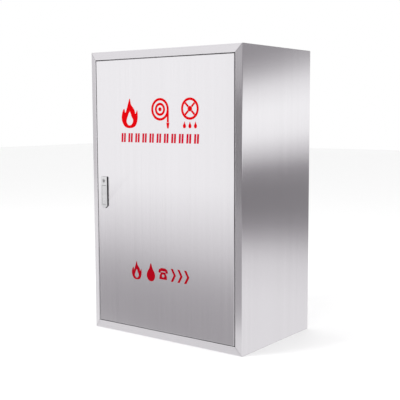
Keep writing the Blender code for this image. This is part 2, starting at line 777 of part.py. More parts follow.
def coupling_mesh_profile():
    """Claw coupling about its own axis: the tail is at the bottom and the claw rim at the top."""
    top = COUPLING_LENGTH
    return [
        (COUPLING_BORE, top - 0.010),
        (0.041, top - 0.010),
        (0.041, top),
        (COUPLING_RADIUS, top),
        (COUPLING_RADIUS, top - 0.034),
        (0.037, top - 0.036),
        (0.037, top - 0.042),
        (0.0305, top - 0.042),
        (0.0305, 0),
        (COUPLING_BORE, 0),
    ]


def coupling(name, matrix, parent, look=ALUMINIUM):
    """A coupling with its rim cut into two claws."""
    made = turned(name, coupling_mesh_profile(), look, matrix, parent)
    slot_matrix = matrix @ Matrix.Translation((0, 0, COUPLING_LENGTH)) @ Matrix.Diagonal(
        (0.120, 0.034, 0.0196, 1)
    )
    shape = bmesh.new()
    bmesh.ops.create_cube(shape, size=1.0)
    mesh = bpy.data.meshes.new(name + "_slot")
    shape.to_mesh(mesh)
    shape.free()
    mesh.transform(slot_matrix)
    cut(made, place(bpy.data.objects.new(name + "_slot", mesh), look, Matrix()))
    return made


def outlet_coupling():
    """The outlet's claw ring screws on over the branch and faces the door."""
    mouth = VALVE_Y - OUTLET_REACH
    at = Matrix.Translation((VALVE_X, mouth, OUTLET_HEIGHT)) @ TURN_Y
    rim = 0.026
    profile = [
        (0.030, rim - 0.010),
        (0.041, rim - 0.010),
        (0.041, rim),
        (COUPLING_RADIUS, rim),
        (COUPLING_RADIUS, -0.006),
        (0.044, -0.014),
        (0.038 + FREE_GAP, -0.014),
        (0.038 + FREE_GAP, FREE_GAP),
        (0.030, FREE_GAP),
    ]
    ring = turned("outlet_coupling", profile, ALUMINIUM, at)
    low = (VALVE_X - 0.060, mouth - rim - 0.01, OUTLET_HEIGHT - 0.017)
    high = (VALVE_X + 0.060, mouth - rim + 0.0098, OUTLET_HEIGHT + 0.017)
    cut(ring, block("outlet_slot", low, high, ALUMINIUM))
    seal_low = rim - 0.010 + FREE_GAP
    seal = [
        (0.0305, seal_low + 0.0040), (0.0400, seal_low + 0.0032), (0.0400, seal_low), (0.0305, seal_low)
    ]
    turned("outlet_seal", seal, RUBBER, at)


def bonnet():
    at = Matrix.Translation((VALVE_X, VALVE_Y, 0))
    gasket_low = BODY_TOP + FREE_GAP
    gasket = [
        (0.0425, gasket_low + 0.0015),
        (0.0570, gasket_low + 0.0015),
        (0.0570, gasket_low),
        (0.0425, gasket_low),
    ]
    turned("body_gasket", gasket, RUBBER, at)
    low = gasket_low + 0.0015 + FREE_GAP
    bore = STEM_RADIUS + RUNNING_GAP
    profile = [
        (bore, low + 0.038),
        (0.0175, low + 0.038),
        (0.0190, low + 0.022),
        (0.0460, low + 0.012),
        (BODY_RADIUS + 0.006, low + 0.010),
        (BODY_RADIUS + 0.006, low),
        (bore, low),
    ]
    turned("valve_bonnet", profile, RED, at)
    nut_low = low + 0.038 + FREE_GAP
    nut = prism(
        "gland_nut", hexagon(0.034), 0.014, BRASS, Matrix.Translation((VALVE_X, VALVE_Y, nut_low + 0.007))
    )
    cut(
        nut,
        drill("gland_bore", bore, (VALVE_X, VALVE_Y, nut_low - 0.01), (VALVE_X, VALVE_Y, nut_low + 0.03)),
    )


def stem_and_disc():
    at = Matrix.Translation((VALVE_X, VALVE_Y, 0))
    seal_low = SEAT_HEIGHT + FREE_GAP
    seal = [(0, seal_low + 0.005), (0.035, seal_low + 0.005), (0.035, seal_low), (0, seal_low)]
    turned("disc_seal", seal, RUBBER, at, VALVE_AXIS)
    disc_low = seal_low + 0.005 + FREE_GAP
    socket = STEM_RADIUS + RUNNING_GAP
    disc = [
        (0, disc_low + 0.004),
        (socket, disc_low + 0.004),
        (socket, disc_low + 0.014),
        (0.013, disc_low + 0.014),
        (0.016, disc_low + 0.008),
        (0.037, disc_low + 0.006),
        (0.037, disc_low),
        (0, disc_low),
    ]
    turned("valve_disc", disc, BRASS, at, VALVE_AXIS)
    shoulder = WHEEL_HEIGHT - 0.010
    top = WHEEL_HEIGHT + 0.022
    stem = [
        (0, top),
        (0.0055, top),
        (0.0060, top - 0.001),
        (0.0060, shoulder),
        (STEM_RADIUS, shoulder),
        (STEM_RADIUS, disc_low + 0.004 + FREE_GAP),
        (0, disc_low + 0.004 + FREE_GAP),
    ]
    turned("valve_stem", stem, BRASS, at, VALVE_AXIS, SMALL_ROUND)
    handwheel(shoulder)
    nut_low = WHEEL_HEIGHT + 0.0085
    nut = prism(
        "handwheel_nut",
        hexagon(0.018),
        0.009,
        ZINC,
        Matrix.Translation((VALVE_X, VALVE_Y, nut_low + 0.0045)),
        VALVE_AXIS,
    )
    cut(
        nut,
        drill(
            "wheel_nut_bore",
            0.0060 + FREE_GAP,
            (VALVE_X, VALVE_Y, nut_low - 0.01),
            (VALVE_X, VALVE_Y, nut_low + 0.03),
            steps=SMALL_ROUND,
        ),
    )


def handwheel(shoulder):
    """A cast rim on four dished spokes."""
    at = Matrix.Translation((VALVE_X, VALVE_Y, 0))
    hub_top = WHEEL_HEIGHT + 0.008
    hub = [(0, hub_top), (0.014, hub_top), (0.016, shoulder + FREE_GAP), (0, shoulder + FREE_GAP)]
    wheel = turned("handwheel", hub, RED, at, VALVE_AXIS, 24)
    rim_height = WHEEL_HEIGHT + 0.004
    rim = [
        (WHEEL_RADIUS + WHEEL_RIM * math.cos(a), rim_height + WHEEL_RIM * math.sin(a))
        for a in (-math.tau * k / 8 for k in range(8))
    ]
    weld_on(wheel, turned("wheel_rim", rim, RED, at, steps=ROUND))
    for k in range(4):
        angle = math.tau * (k + 0.5) / 4
        along = Vector((math.cos(angle), math.sin(angle), 0))
        inner = Vector((VALVE_X, VALVE_Y, WHEEL_HEIGHT - 0.001)) + along * 0.006
        outer = Vector((VALVE_X, VALVE_Y, rim_height)) + along * WHEEL_RADIUS
        weld_on(wheel, drill(f"wheel_spoke_{k}", 0.0050, inner, outer, steps=8))
    bore = drill(
        "wheel_bore",
        0.0060 + FREE_GAP,
        (VALVE_X, VALVE_Y, shoulder - 0.02),
        (VALVE_X, VALVE_Y, hub_top + 0.02),
        steps=SMALL_ROUND,
    )
    cut(wheel, bore)


# Hose roll on its cradle


def hose_roll():
    at = Matrix.Translation((ROLL_X, ROLL_Y, ROLL_Z)) @ TURN_Y
    half = HOSE_WIDTH / 2
    roll = [(ROLL_BORE, half), (ROLL_RADIUS, half), (ROLL_RADIUS, -half), (ROLL_BORE, -half)]
    turned("hose_roll", roll, FABRIC, at, HOSE_AXIS, 48)
    hose_tail()
    lift = ROLL_RADIUS + COUPLING_RADIUS + 0.0015
    pointing_left = Matrix.Rotation(math.radians(-90), 4, "Y")
    outer = Matrix.Translation((ROLL_X + TAIL_END, ROLL_Y, ROLL_Z + lift)) @ pointing_left
    coupling("hose_coupling_outer", outer, HOSE_AXIS)
    inner = Matrix.Translation((ROLL_X + 0.034, ROLL_Y, ROLL_Z)) @ pointing_left
    coupling("hose_coupling_inner", inner, HOSE_AXIS)
    hose_strap()



def tail_section(share):
    """Centre, up vector, half width and half thickness of the tail, from roll (0) to coupling (1)."""
    start_angle = math.radians(38)
    start = Vector((math.cos(start_angle), math.sin(start_angle))) * (ROLL_RADIUS + HOSE_FLAT)
    leave = Vector((-math.sin(start_angle), math.cos(start_angle)))
    lift = ROLL_RADIUS + COUPLING_RADIUS + 0.0015
    end = Vector((TAIL_END + FREE_GAP, lift))
    arrive = Vector((-1, 0))
    reach = (end - start).length * 0.45
    a, b, c, d = start, start + leave * reach, end - arrive * reach, end
    s = 1 - share
    centre = a * s**3 + b * (3 * s * s * share) + c * (3 * s * share**2) + d * share**3
    tangent = (b - a) * (3 * s * s) + (c - b) * (6 * s * share) + (d - c) * (3 * share**2)
    tangent.normalize()
    ease = share * share * (3 - 2 * share)
    half_width = HOSE_WIDTH / 2 * (1 - ease) + 0.036 * ease
    half_thick = HOSE_FLAT / 2 * (1 - ease) + 0.036 * ease
    return centre, Vector((-tangent.y, tangent.x)), half_width, half_thick


def hose_tail():
    """The last stretch of hose opens from flat to round on its way to the coupling: a loft of ellipses."""
    rings, sides = 9, 20
    shape = bmesh.new()
    loops = []
    for i in range(rings):
        centre, up, half_width, half_thick = tail_section(i / (rings - 1))
        loop = []
        for k in range(sides):
            angle = math.tau * k / sides
            flat = centre + up * (half_thick * math.sin(angle))
            loop.append(shape.verts.new((flat.x, half_width * math.cos(angle), flat.y)))
        loops.append(loop)
    for one, other in zip(loops, loops[1:]):
        for k in range(sides):
            shape.faces.new((one[k], one[(k + 1) % sides], other[(k + 1) % sides], other[k]))
    shape.faces.new(loops[0])
    shape.faces.new(loops[-1])
    bmesh.ops.recalc_face_normals(shape, faces=shape.faces)
    mesh = bpy.data.meshes.new("hose_tail")
    shape.to_mesh(mesh)
    shape.free()
    tail = place(
        bpy.data.objects.new("hose_tail", mesh),
        FABRIC,
        Matrix.Translation((ROLL_X, ROLL_Y, ROLL_Z)),
        HOSE_AXIS,
    )
    tube = 0.0305 + FREE_GAP
    high = ROLL_Z + ROLL_RADIUS + COUPLING_RADIUS + 0.0015
    start, end = (ROLL_X + TAIL_END - 0.02, ROLL_Y, high), (ROLL_X + TAIL_END + 0.030, ROLL_Y, high)
    cut(tail, drill("tail_socket", tube, start, end))


def hose_strap():
    """A webbing strap closed round one side of the roll: a rectangular loop at the roll's right."""
    thickness = STRAP_THICKNESS
    inner_radius = math.sqrt(ROLL_BORE**2 - STRAP_HALF_BAND**2) - 2 * FREE_GAP - thickness
    outer_radius = ROLL_RADIUS + FREE_GAP + thickness
    half_width = HOSE_WIDTH / 2 + FREE_GAP + thickness
    at = Matrix.Translation((ROLL_X, ROLL_Y, ROLL_Z))
    outer = [
        (inner_radius, -half_width),
        (outer_radius, -half_width),
        (outer_radius, half_width),
        (inner_radius, half_width),
    ]
    strap = prism(
        "hose_strap",
        outer,
        2 * STRAP_HALF_BAND,
        RED,
        at @ Matrix.Rotation(math.radians(STRAP_TURN), 4, "Y"),
        HOSE_AXIS,
    )
    core = [
        (x + (thickness if x < ROLL_BORE else -thickness), y * (1 - thickness / half_width))
        for x, y in outer
    ]
    cutter = prism(
        "strap_core", core, 4 * STRAP_HALF_BAND, RED, at @ Matrix.Rotation(math.radians(STRAP_TURN), 4, "Y")
    )
    cut(strap, cutter)


def sector(inner, outer, spread, steps=24):
    """A ring sector that hangs below the centre, spread degrees to each side."""
    below = arc_points(inner, -90 - spread, -90 + spread, steps)
    return below + arc_points(outer, -90 + spread, -90 - spread, steps)


def cradle():
    """A trough of sheet under the roll, with low walls front and back, on a bracket from the back panel."""
    inner = ROLL_RADIUS + FREE_GAP
    sheet, wall = 0.0015, 0.018
    half = HOSE_WIDTH / 2 + 0.003
    at = Matrix.Translation((ROLL_X, ROLL_Y, ROLL_Z)) @ TURN_Y
    made = prism("hose_cradle", sector(inner - wall, inner + sheet, 48), 2 * (half + sheet), STAINLESS, at)
    cut(made, prism("cradle_channel", sector(inner - 2 * wall, inner, 52), 2 * half, STAINLESS, at))
    arm_top = ROLL_Z - inner - sheet - FREE_GAP
    drop, plate, arm = 0.085, 0.003, Y_PANEL - (ROLL_Y - half)
    half_plate = plate / 2
    path = [(FREE_GAP + half_plate, -drop), (FREE_GAP + half_plate, -half_plate), (arm, -half_plate)]
    bracket_at = Matrix(((0, 0, 1, ROLL_X), (-1, 0, 0, Y_PANEL), (0, 1, 0, arm_top), (0, 0, 0, 1)))
    bracket = prism(
        "cradle_bracket",
        fold_outline(path, plate, 0.004),
        0.060,
        ZINC,
        bracket_at @ Matrix.Scale(-1, 4, (0, 0, 1)),
    )
    for i, (x, z) in enumerate(bracket_rivets()):
        cut(
            bracket,
            drill(f"bracket_hole_{i}", 0.0023, (x, Y_PANEL - 0.02, z), (x, Y_PANEL + 0.01, z), steps=12),
        )


def bracket_rivets():
    height = ROLL_Z - ROLL_RADIUS - 0.060
    return [(ROLL_X - 0.018, height), (ROLL_X + 0.018, height)]


# Nozzle in two spring clips


def clip_places():
    """Name, height of the clip's middle, and the nozzle's radius there."""
    return [
        ("nozzle_clip_lower", NOZZLE_BOTTOM + 0.090, 0.0352),
        ("nozzle_clip_upper", NOZZLE_BOTTOM + 0.300, 0.0200),
    ]


def rivet_places():
    return bracket_rivets() + [(NOZZLE_X, z) for _, z, _ in clip_places()]


def nozzle():
    up = Matrix.Translation((NOZZLE_X, NOZZLE_Y, NOZZLE_BOTTOM))
    down = Matrix.Translation((0, 0, COUPLING_LENGTH)) @ Matrix.Rotation(math.pi, 4, "X")
    coupling("nozzle_coupling", up @ down, NOZZLE_AXIS)
    low, top = 0.0423, NOZZLE_LENGTH - 0.035
    barrel = [
        (0.0110, top),
        (0.0185, top),
        (0.0200, top - 0.080),
        (0.0350, 0.190),
        (0.0350, low + 0.004),
        (0.0370, low + 0.003),
        (0.0370, low),
        (0.0305 + FREE_GAP, low),
        (0.0305 + FREE_GAP, 0.0725),
        (0.0275, 0.0725),
        (0.0275, 0.185),
    ]
    turned("nozzle_barrel", barrel, ALUMINIUM, up, NOZZLE_AXIS)
    grip = 0.0350 + FREE_GAP
    sleeve = [(grip, 0.182), (grip + 0.0022, 0.181), (grip + 0.0022, 0.111), (grip, 0.110)]
    turned("nozzle_grip", sleeve, RUBBER, up, NOZZLE_AXIS)
    tip_low = top + FREE_GAP
    tip = [
        (0.0095, NOZZLE_LENGTH),
        (0.0150, NOZZLE_LENGTH),
        (0.0165, NOZZLE_LENGTH - 0.004),
        (0.0165, tip_low + 0.008),
        (0.0205, tip_low + 0.006),
        (0.0205, tip_low),
        (0.0095, tip_low),
    ]
    turned("nozzle_tip", tip, BRASS, up, NOZZLE_AXIS)


def clips():
    """Each clip is a folded U whose two arms stand beside the nozzle and flare at their ends."""
    sheet = 0.0015
    for name, height, radius in clip_places():
        half = radius + 0.0008 + sheet / 2
        base, reach = Y_PANEL - FREE_GAP - sheet / 2, NOZZLE_Y - 0.012
        path = [
            (-half - 0.004, reach - 0.010),
            (-half, reach),
            (-half, base),
            (half, base),
            (half, reach),
            (half + 0.004, reach - 0.010),
        ]
        at = Matrix.Translation((NOZZLE_X, 0, height))
        clip = prism(name, fold_outline(path, sheet, 0.0030), 0.022, STAINLESS, at)
        cut(
            clip,
            drill(
                name + "_hole",
                0.0023,
                (NOZZLE_X, Y_PANEL - 0.02, height),
                (NOZZLE_X, Y_PANEL + 0.01, height),
                steps=12,
            ),
        )


def rivets():
    names = ["cradle_rivet_left", "cradle_rivet_right", "clip_rivet_lower", "clip_rivet_upper"]
    grips = [0.0030, 0.0030, 0.0015, 0.0015]
    for name, (x, z), grip in zip(names, rivet_places(), grips):
        head = FREE_GAP + grip + FREE_GAP
        profile = [
            (0, head + 0.0018),
            (0.0025, head + 0.0015),
            (0.0040, head),
            (0.0020, head),
            (0.0020, -SHEET),
            (0, -SHEET),
        ]
        turned(name, profile, ZINC, Matrix.Translation((x, Y_PANEL, z)) @ TURN_Y, steps=12)


shell()
back_panel()
hinge()
door_skin()
door_stiffener()
catch_and_bumpers()
plane_lock()
supply()
valve_body()
outlet_coupling()
bonnet()
stem_and_disc()
hose_roll()
cradle()
nozzle()
clips()
rivets()
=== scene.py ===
import math
import bpy
import bmesh
from mathutils import Matrix, Vector


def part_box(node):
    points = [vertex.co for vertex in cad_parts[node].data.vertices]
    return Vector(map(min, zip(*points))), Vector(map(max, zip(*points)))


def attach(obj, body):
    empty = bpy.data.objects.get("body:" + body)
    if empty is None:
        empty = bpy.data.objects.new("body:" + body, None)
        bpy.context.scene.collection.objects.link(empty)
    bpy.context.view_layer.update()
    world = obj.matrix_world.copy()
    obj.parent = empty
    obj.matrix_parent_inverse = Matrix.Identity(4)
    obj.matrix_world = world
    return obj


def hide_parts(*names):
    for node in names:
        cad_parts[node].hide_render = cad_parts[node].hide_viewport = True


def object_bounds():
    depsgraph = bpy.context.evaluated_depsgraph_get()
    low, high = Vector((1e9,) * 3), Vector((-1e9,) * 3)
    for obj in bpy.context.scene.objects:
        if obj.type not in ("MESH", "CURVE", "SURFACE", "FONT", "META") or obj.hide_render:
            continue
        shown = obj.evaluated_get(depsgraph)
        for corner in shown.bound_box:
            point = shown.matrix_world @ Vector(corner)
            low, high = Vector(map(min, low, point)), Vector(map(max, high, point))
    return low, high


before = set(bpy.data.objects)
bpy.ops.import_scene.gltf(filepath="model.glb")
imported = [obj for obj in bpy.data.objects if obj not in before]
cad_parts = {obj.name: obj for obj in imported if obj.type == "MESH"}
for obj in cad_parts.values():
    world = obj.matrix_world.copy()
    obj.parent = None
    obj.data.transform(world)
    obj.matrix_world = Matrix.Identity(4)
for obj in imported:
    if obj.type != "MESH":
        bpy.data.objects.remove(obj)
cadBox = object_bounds()
scene = bpy.context.scene
wallLow, wallHigh = (Vector(corner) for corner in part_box("left_side_panel"))
# the middle of the box without its lock
middle = Vector((0, (wallLow.y + wallHigh.y) / 2, (cadBox[0][2] + cadBox[1][2]) / 2))

# camera

camera = {"azimuth": 36.8, "elevation": 6.11, "distance": 2.8813, "lens": 71.67, "sensor": 36,
          "right": -0.0018, "up": -0.0286, "roll": -0.23}


def placeCamera():
    turn, tilt = math.radians(camera["azimuth"]), math.radians(camera["elevation"])
    back = Vector((math.sin(turn) * math.cos(tilt), -math.cos(turn) * math.cos(tilt), math.sin(tilt)))
    right = Vector((math.cos(turn), math.sin(turn), 0))
    up = back.cross(right)
    spot = middle + right * camera["right"] + up * camera["up"] + back * camera["distance"]
    roll = Matrix.Rotation(math.radians(camera["roll"]), 4, "Z")
    lens = bpy.data.cameras.new("camera")
    lens.lens, lens.sensor_width = camera["lens"], camera["sensor"]
    thing = bpy.data.objects.new("camera", lens)
    axes = Matrix((right, up, back)).transposed().to_4x4()
    thing.matrix_world = Matrix.Translation(spot) @ axes @ roll
    scene.collection.objects.link(thing)
    scene.camera = thing


placeCamera()
scene.view_settings.view_transform = "Standard"
print("camera placed")

# node helpers


def newMaterial(name, colour, roughness, metallic=0.0, **constants):
    made = bpy.data.materials.new(name)
    made.use_nodes = True
    shader = made.node_tree.nodes["Principled BSDF"]
    shader.inputs["Base Color"].default_value = (*colour, 1)
    shader.inputs["Roughness"].default_value = roughness
    shader.inputs["Metallic"].default_value = metallic
    for socket, value in constants.items():
        shader.inputs[socket.replace("_", " ")].default_value = value
    return made


def addNode(material, kind, **settings):
    node = material.node_tree.nodes.new(kind)
    for key, value in settings.items():
        setattr(node, key, value)
    return node


def join(material, output, socket):
    material.node_tree.links.new(output, socket)


def shaderOf(material):
    return material.node_tree.nodes["Principled BSDF"]


def grainNoise(material, stretch, detail=3.0, sharp=0.55, shift=(0, 0, 0)):
    place = addNode(material, "ShaderNodeTexCoord")
    mapping = addNode(material, "ShaderNodeMapping")
    mapping.inputs["Scale"].default_value = stretch
    mapping.inputs["Location"].default_value = shift
    noise = addNode(material, "ShaderNodeTexNoise")
    noise.inputs["Scale"].default_value = 1.0
    noise.inputs["Detail"].default_value = detail
    noise.inputs["Roughness"].default_value = sharp
    join(material, place.outputs["Object"], mapping.inputs["Vector"])
    join(material, mapping.outputs["Vector"], noise.inputs["Vector"])
    return noise.outputs["Fac"]


def ranged(material, output, low, high, fromLow=0.3, fromHigh=0.7):
    node = addNode(material, "ShaderNodeMapRange")
    for socket, value in (("From Min", fromLow), ("From Max", fromHigh), ("To Min", low), ("To Max", high)):
        node.inputs[socket].default_value = value
    join(material, output, node.inputs["Value"])
    return node.outputs["Result"]


def maths(material, operation, first, second):
    node = addNode(material, "ShaderNodeMath", operation=operation)
    for slot, value in enumerate((first, second)):
        if isinstance(value, (int, float)):
            node.inputs[slot].default_value = value
        else:
            join(material, value, node.inputs[slot])
    return node.outputs["Value"]


def tint(material, output, dark, light, fromLow=0.3, fromHigh=0.7):
    ramp = addNode(material, "ShaderNodeValToRGB")
    first, last = ramp.color_ramp.elements
    first.position, last.position = fromLow, fromHigh
    first.color, last.color = (*dark, 1), (*light, 1)
    join(material, output, ramp.inputs["Fac"])
    join(material, ramp.outputs["Color"], shaderOf(material).inputs["Base Color"])


def roughen(material, output, low, high):
    join(material, ranged(material, output, low, high), shaderOf(material).inputs["Roughness"])


def bumpOn(material, output, strength, distance, normal=None):
    bump = addNode(material, "ShaderNodeBump")
    bump.inputs["Strength"].default_value = strength
    bump.inputs["Distance"].default_value = distance
    join(material, output, bump.inputs["Height"])
    if normal:
        join(material, normal, bump.inputs["Normal"])
    join(material, bump.outputs["Normal"], shaderOf(material).inputs["Normal"])


# materials

steelLook = {"colour": (0.90, 0.885, 0.91), "roughness": 0.20, "anisotropic": 0.85, "streak": 0.022,
             "lengthwise": 0.004}


def leaningNormal(material, lean):
    surface = addNode(material, "ShaderNodeNewGeometry")
    parts = addNode(material, "ShaderNodeSeparateXYZ")
    join(material, surface.outputs["Normal"], parts.inputs["Vector"])
    facesFront = maths(material, "LESS_THAN", parts.outputs["Y"], -0.95)
    offset = addNode(material, "ShaderNodeVectorMath", operation="SCALE")
    offset.inputs[0].default_value = lean
    join(material, facesFront, offset.inputs["Scale"])
    total = addNode(material, "ShaderNodeVectorMath", operation="ADD")
    join(material, surface.outputs["Normal"], total.inputs[0])
    join(material, offset.outputs["Vector"], total.inputs[1])
    unit = addNode(material, "ShaderNodeVectorMath", operation="NORMALIZE")
    join(material, total.outputs["Vector"], unit.inputs[0])
    return unit.outputs["Vector"]


def brushedSteel(name, along="Z", lean=None, roughness=None):
    rough = roughness or steelLook["roughness"]
    made = newMaterial(name, steelLook["colour"], rough, 1.0, Anisotropic=steelLook["anisotropic"])

    def stretched(scale):
        drawn = scale * steelLook["lengthwise"]
        return drawn if along == "X" else scale, scale, drawn if along == "Z" else scale

    fine = grainNoise(made, stretched(2200), 2)
    middleGrain = grainNoise(made, stretched(420), 3, shift=(7, 3, 1))
    broad = grainNoise(made, stretched(60), 2, shift=(2, 9, 4))
    both = maths(made, "ADD", maths(made, "MULTIPLY", fine, 0.35),
                 maths(made, "MULTIPLY", middleGrain, 0.65))
    mixed = maths(made, "ADD", maths(made, "MULTIPLY", both, 0.75), maths(made, "MULTIPLY", broad, 0.25))
    deep = tuple(c * (1 - 2 * steelLook["streak"]) for c in steelLook["colour"])
    tint(made, mixed, deep, steelLook["colour"], 0.35, 0.62)
    roughen(made, both, rough * 0.88, rough * 1.14)
    tangent = addNode(made, "ShaderNodeTangent", direction_type="RADIAL", axis=along)
    join(made, tangent.outputs["Tangent"], shaderOf(made).inputs["Tangent"])
    bumpOn(made, both, 0.05, 0.0002, leaningNormal(made, lean) if lean else None)
    return made


def satinChrome():
    made = newMaterial("satinChrome", (0.80, 0.80, 0.81), 0.26, 1.0)
    grain = grainNoise(made, (900, 900, 900), 4)
    roughen(made, grain, 0.22, 0.32)
    tint(made, grainNoise(made, (90, 90, 90), 3), (0.74, 0.74, 0.75), (0.82, 0.82, 0.83))
    bumpOn(made, grain, 0.04, 0.0002)
    return made


def mouldedBlack():
    made = newMaterial("mouldedBlack", (0.012, 0.012, 0.013), 0.42)
    grain = grainNoise(made, (1500, 1500, 1500), 2)
    roughen(made, grain, 0.36, 0.52)
    tint(made, grainNoise(made, (60, 60, 60), 3), (0.009, 0.009, 0.010), (0.016, 0.016, 0.017))
    bumpOn(made, grain, 0.15, 0.0001)
    return made


def mouldedRubber():
    made = newMaterial("mouldedRubber", (0.022, 0.022, 0.022), 0.7)
    grain = grainNoise(made, (700, 700, 700), 3)
    roughen(made, grain, 0.6, 0.85)
    tint(made, grainNoise(made, (45, 45, 45), 4), (0.016, 0.016, 0.016), (0.036, 0.035, 0.034))
    bumpOn(made, grain, 0.2, 0.0002)
    return made


def redEnamel():
    made = newMaterial("redEnamel", (0.55, 0.015, 0.012), 0.3, 0.0, Coat_Weight=0.4, Coat_Roughness=0.12)
    skin = grainNoise(made, (160, 160, 160), 3)
    tint(made, grainNoise(made, (22, 22, 22), 5), (0.46, 0.010, 0.008), (0.60, 0.020, 0.015))
    roughen(made, skin, 0.26, 0.42)
    bumpOn(made, skin, 0.22, 0.0006)
    return made


def turnedBrass():
    made = newMaterial("turnedBrass", (0.80, 0.56, 0.24), 0.28, 1.0)
    rings = grainNoise(made, (40, 40, 2600), 2)
    tint(made, grainNoise(made, (70, 70, 70), 4), (0.66, 0.43, 0.17), (0.84, 0.61, 0.28))
    roughen(made, rings, 0.22, 0.38)
    bumpOn(made, rings, 0.08, 0.0002)
    return made


def castAluminium():
    made = newMaterial("castAluminium", (0.74, 0.75, 0.77), 0.42, 1.0)
    grain = grainNoise(made, (420, 420, 420), 4)
    tint(made, grainNoise(made, (55, 55, 55), 4), (0.64, 0.65, 0.67), (0.80, 0.81, 0.83))
    roughen(made, grain, 0.34, 0.52)
    bumpOn(made, grain, 0.18, 0.0004)
    return made


def zincSteel():
    made = newMaterial("zincSteel", (0.60, 0.62, 0.63), 0.36, 1.0)
    spangle = grainNoise(made, (130, 130, 130), 2)
    tint(made, spangle, (0.50, 0.52, 0.54), (0.68, 0.70, 0.71))
    roughen(made, spangle, 0.30, 0.46)
    bumpOn(made, grainNoise(made, (800, 800, 800), 3), 0.06, 0.0002)
    return made


def bushNylon():
    made = newMaterial("bushNylon", (0.055, 0.055, 0.055), 0.45)
    grain = grainNoise(made, (900, 900, 900), 2)
    tint(made, grainNoise(made, (120, 120, 120), 3), (0.045, 0.045, 0.045), (0.07, 0.07, 0.07))
    roughen(made, grain, 0.4, 0.55)
    bumpOn(made, grain, 0.06, 0.0002)
    return made


def wovenCloth(name, dark, light, pitch, depth):
    made = newMaterial(name, light, 0.85, 0.0, Sheen_Weight=0.25)
    place = addNode(made, "ShaderNodeTexCoord")
    waves = []
    for turnAngle in (0.7, -0.7):
        mapping = addNode(made, "ShaderNodeMapping")
        mapping.inputs["Rotation"].default_value = (0.6, turnAngle, 0.4)
        wave = addNode(made, "ShaderNodeTexWave")
        wave.inputs["Scale"].default_value = 1 / pitch / math.tau * 2
        wave.inputs["Distortion"].default_value = 0.4
        join(made, place.outputs["Object"], mapping.inputs["Vector"])
        join(made, mapping.outputs["Vector"], wave.inputs["Vector"])
        waves.append(wave.outputs["Fac"])
    weave = maths(made, "MULTIPLY", *waves)
    wear = grainNoise(made, (35, 35, 35), 4)
    mixed = maths(made, "ADD", maths(made, "MULTIPLY", weave, 0.4), maths(made, "MULTIPLY", wear, 0.6))
    tint(made, mixed, dark, light, 0.2, 0.65)
    roughen(made, wear, 0.78, 0.95)
    bumpOn(made, weave, 0.5, depth)
    return made


def signRed(name, colour):
    made = newMaterial(name, colour, 0.5, 0.0, Specular_IOR_Level=0.02)
    film = grainNoise(made, (500, 500, 500), 2)
    tint(made, grainNoise(made, (30, 30, 30), 3), tuple(c * 0.93 for c in colour), colour)
    roughen(made, film, 0.46, 0.56)
    bumpOn(made, film, 0.04, 0.0001)
    return made


# how far the frame's reflections lean outwards
frameLean = {"left": 0.20, "right": 0.28, "top": 0.115, "bottom": 0.13}
looks = {
    "door": brushedSteel("doorSteel"),
    "left": brushedSteel("leftWallSteel", "Z", (-frameLean["left"], 0, 0)),
    "right": brushedSteel("rightWallSteel", "Z", (frameLean["right"], 0, 0)),
    "top": brushedSteel("topWallSteel", "X", (0, 0, frameLean["top"])),
    "bottom": brushedSteel("bottomWallSteel", "X", (0, 0, -frameLean["bottom"])),
    "inner": brushedSteel("innerSteel", "Z", None, 0.34),
    "chrome": satinChrome(),
    "black": mouldedBlack(),
    "rubber": mouldedRubber(),
    "red": redEnamel(),
    "brass": turnedBrass(),
    "aluminium": castAluminium(),
    "zinc": zincSteel(),
    "nylon": bushNylon(),
    "hose": wovenCloth("hoseJacket", (0.55, 0.53, 0.46), (0.80, 0.78, 0.71), 0.0016, 0.0004),
    "webbing": wovenCloth("redWebbing", (0.24, 0.01, 0.01), (0.52, 0.03, 0.03), 0.0012, 0.0003),
    "signBright": signRed("signRed", (0.54, 0.0, 0.002)),
    "signBand": signRed("signBandRed", (0.47, 0.001, 0.018)),
    "signDeep": signRed("signDeepRed", (0.31, 0.0, 0.007)),
}
print("materials made")

# piece helpers


def finishMesh(mesh, angle=38):
    mesh.shade_smooth()
    mesh.set_sharp_from_angle(angle=math.radians(angle))


def addPiece(name, mesh, body, material, replaced=()):
    mesh.materials.clear()
    mesh.materials.append(material)
    piece = bpy.data.objects.new(name, mesh)
    scene.collection.objects.link(piece)
    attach(piece, body)
    if replaced:
        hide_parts(*replaced)
    return piece


def weighNormals(piece):
    weight = piece.modifiers.new("flatFaces", "WEIGHTED_NORMAL")
    weight.weight = 100
    weight.keep_sharp = True


def smoothCopy(node, name, body, material, bevel=0.0, angle=38, flatten=True):
    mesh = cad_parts[node].data.copy()
    work = bmesh.new()
    work.from_mesh(mesh)
    bmesh.ops.remove_doubles(work, verts=work.verts, dist=1e-5)
    if flatten:
        bmesh.ops.dissolve_limit(work, angle_limit=math.radians(0.5), verts=work.verts, edges=work.edges)
    work.to_mesh(mesh)
    work.free()
    mesh.name = name
    finishMesh(mesh, angle)
    piece = addPiece(name, mesh, body, material, (node,))
    if bevel:
        rounding = piece.modifiers.new("softEdges", "BEVEL")
        rounding.width, rounding.segments = bevel, 2
        rounding.limit_method = "ANGLE"
        rounding.angle_limit = math.radians(angle)
        rounding.harden_normals = False
    weighNormals(piece)
    return piece


def roundedProfile(points, radius):
    out = []
    total = len(points)
    for i, point in enumerate(points):
        here, before, after = Vector(point), Vector(points[i - 1]), Vector(points[(i + 1) % total])
        if here.x == 0 or radius == 0:
            out.append(point)
            continue
        reach = min(radius, (here - before).length * 0.4, (after - here).length * 0.4)
        start = here + (before - here).normalized() * reach
        end = here + (after - here).normalized() * reach
        for k in range(4):
            s = k / 3
            out.append(tuple(start * (1 - s) ** 2 + here * (2 * s * (1 - s)) + end * s**2))
    return out


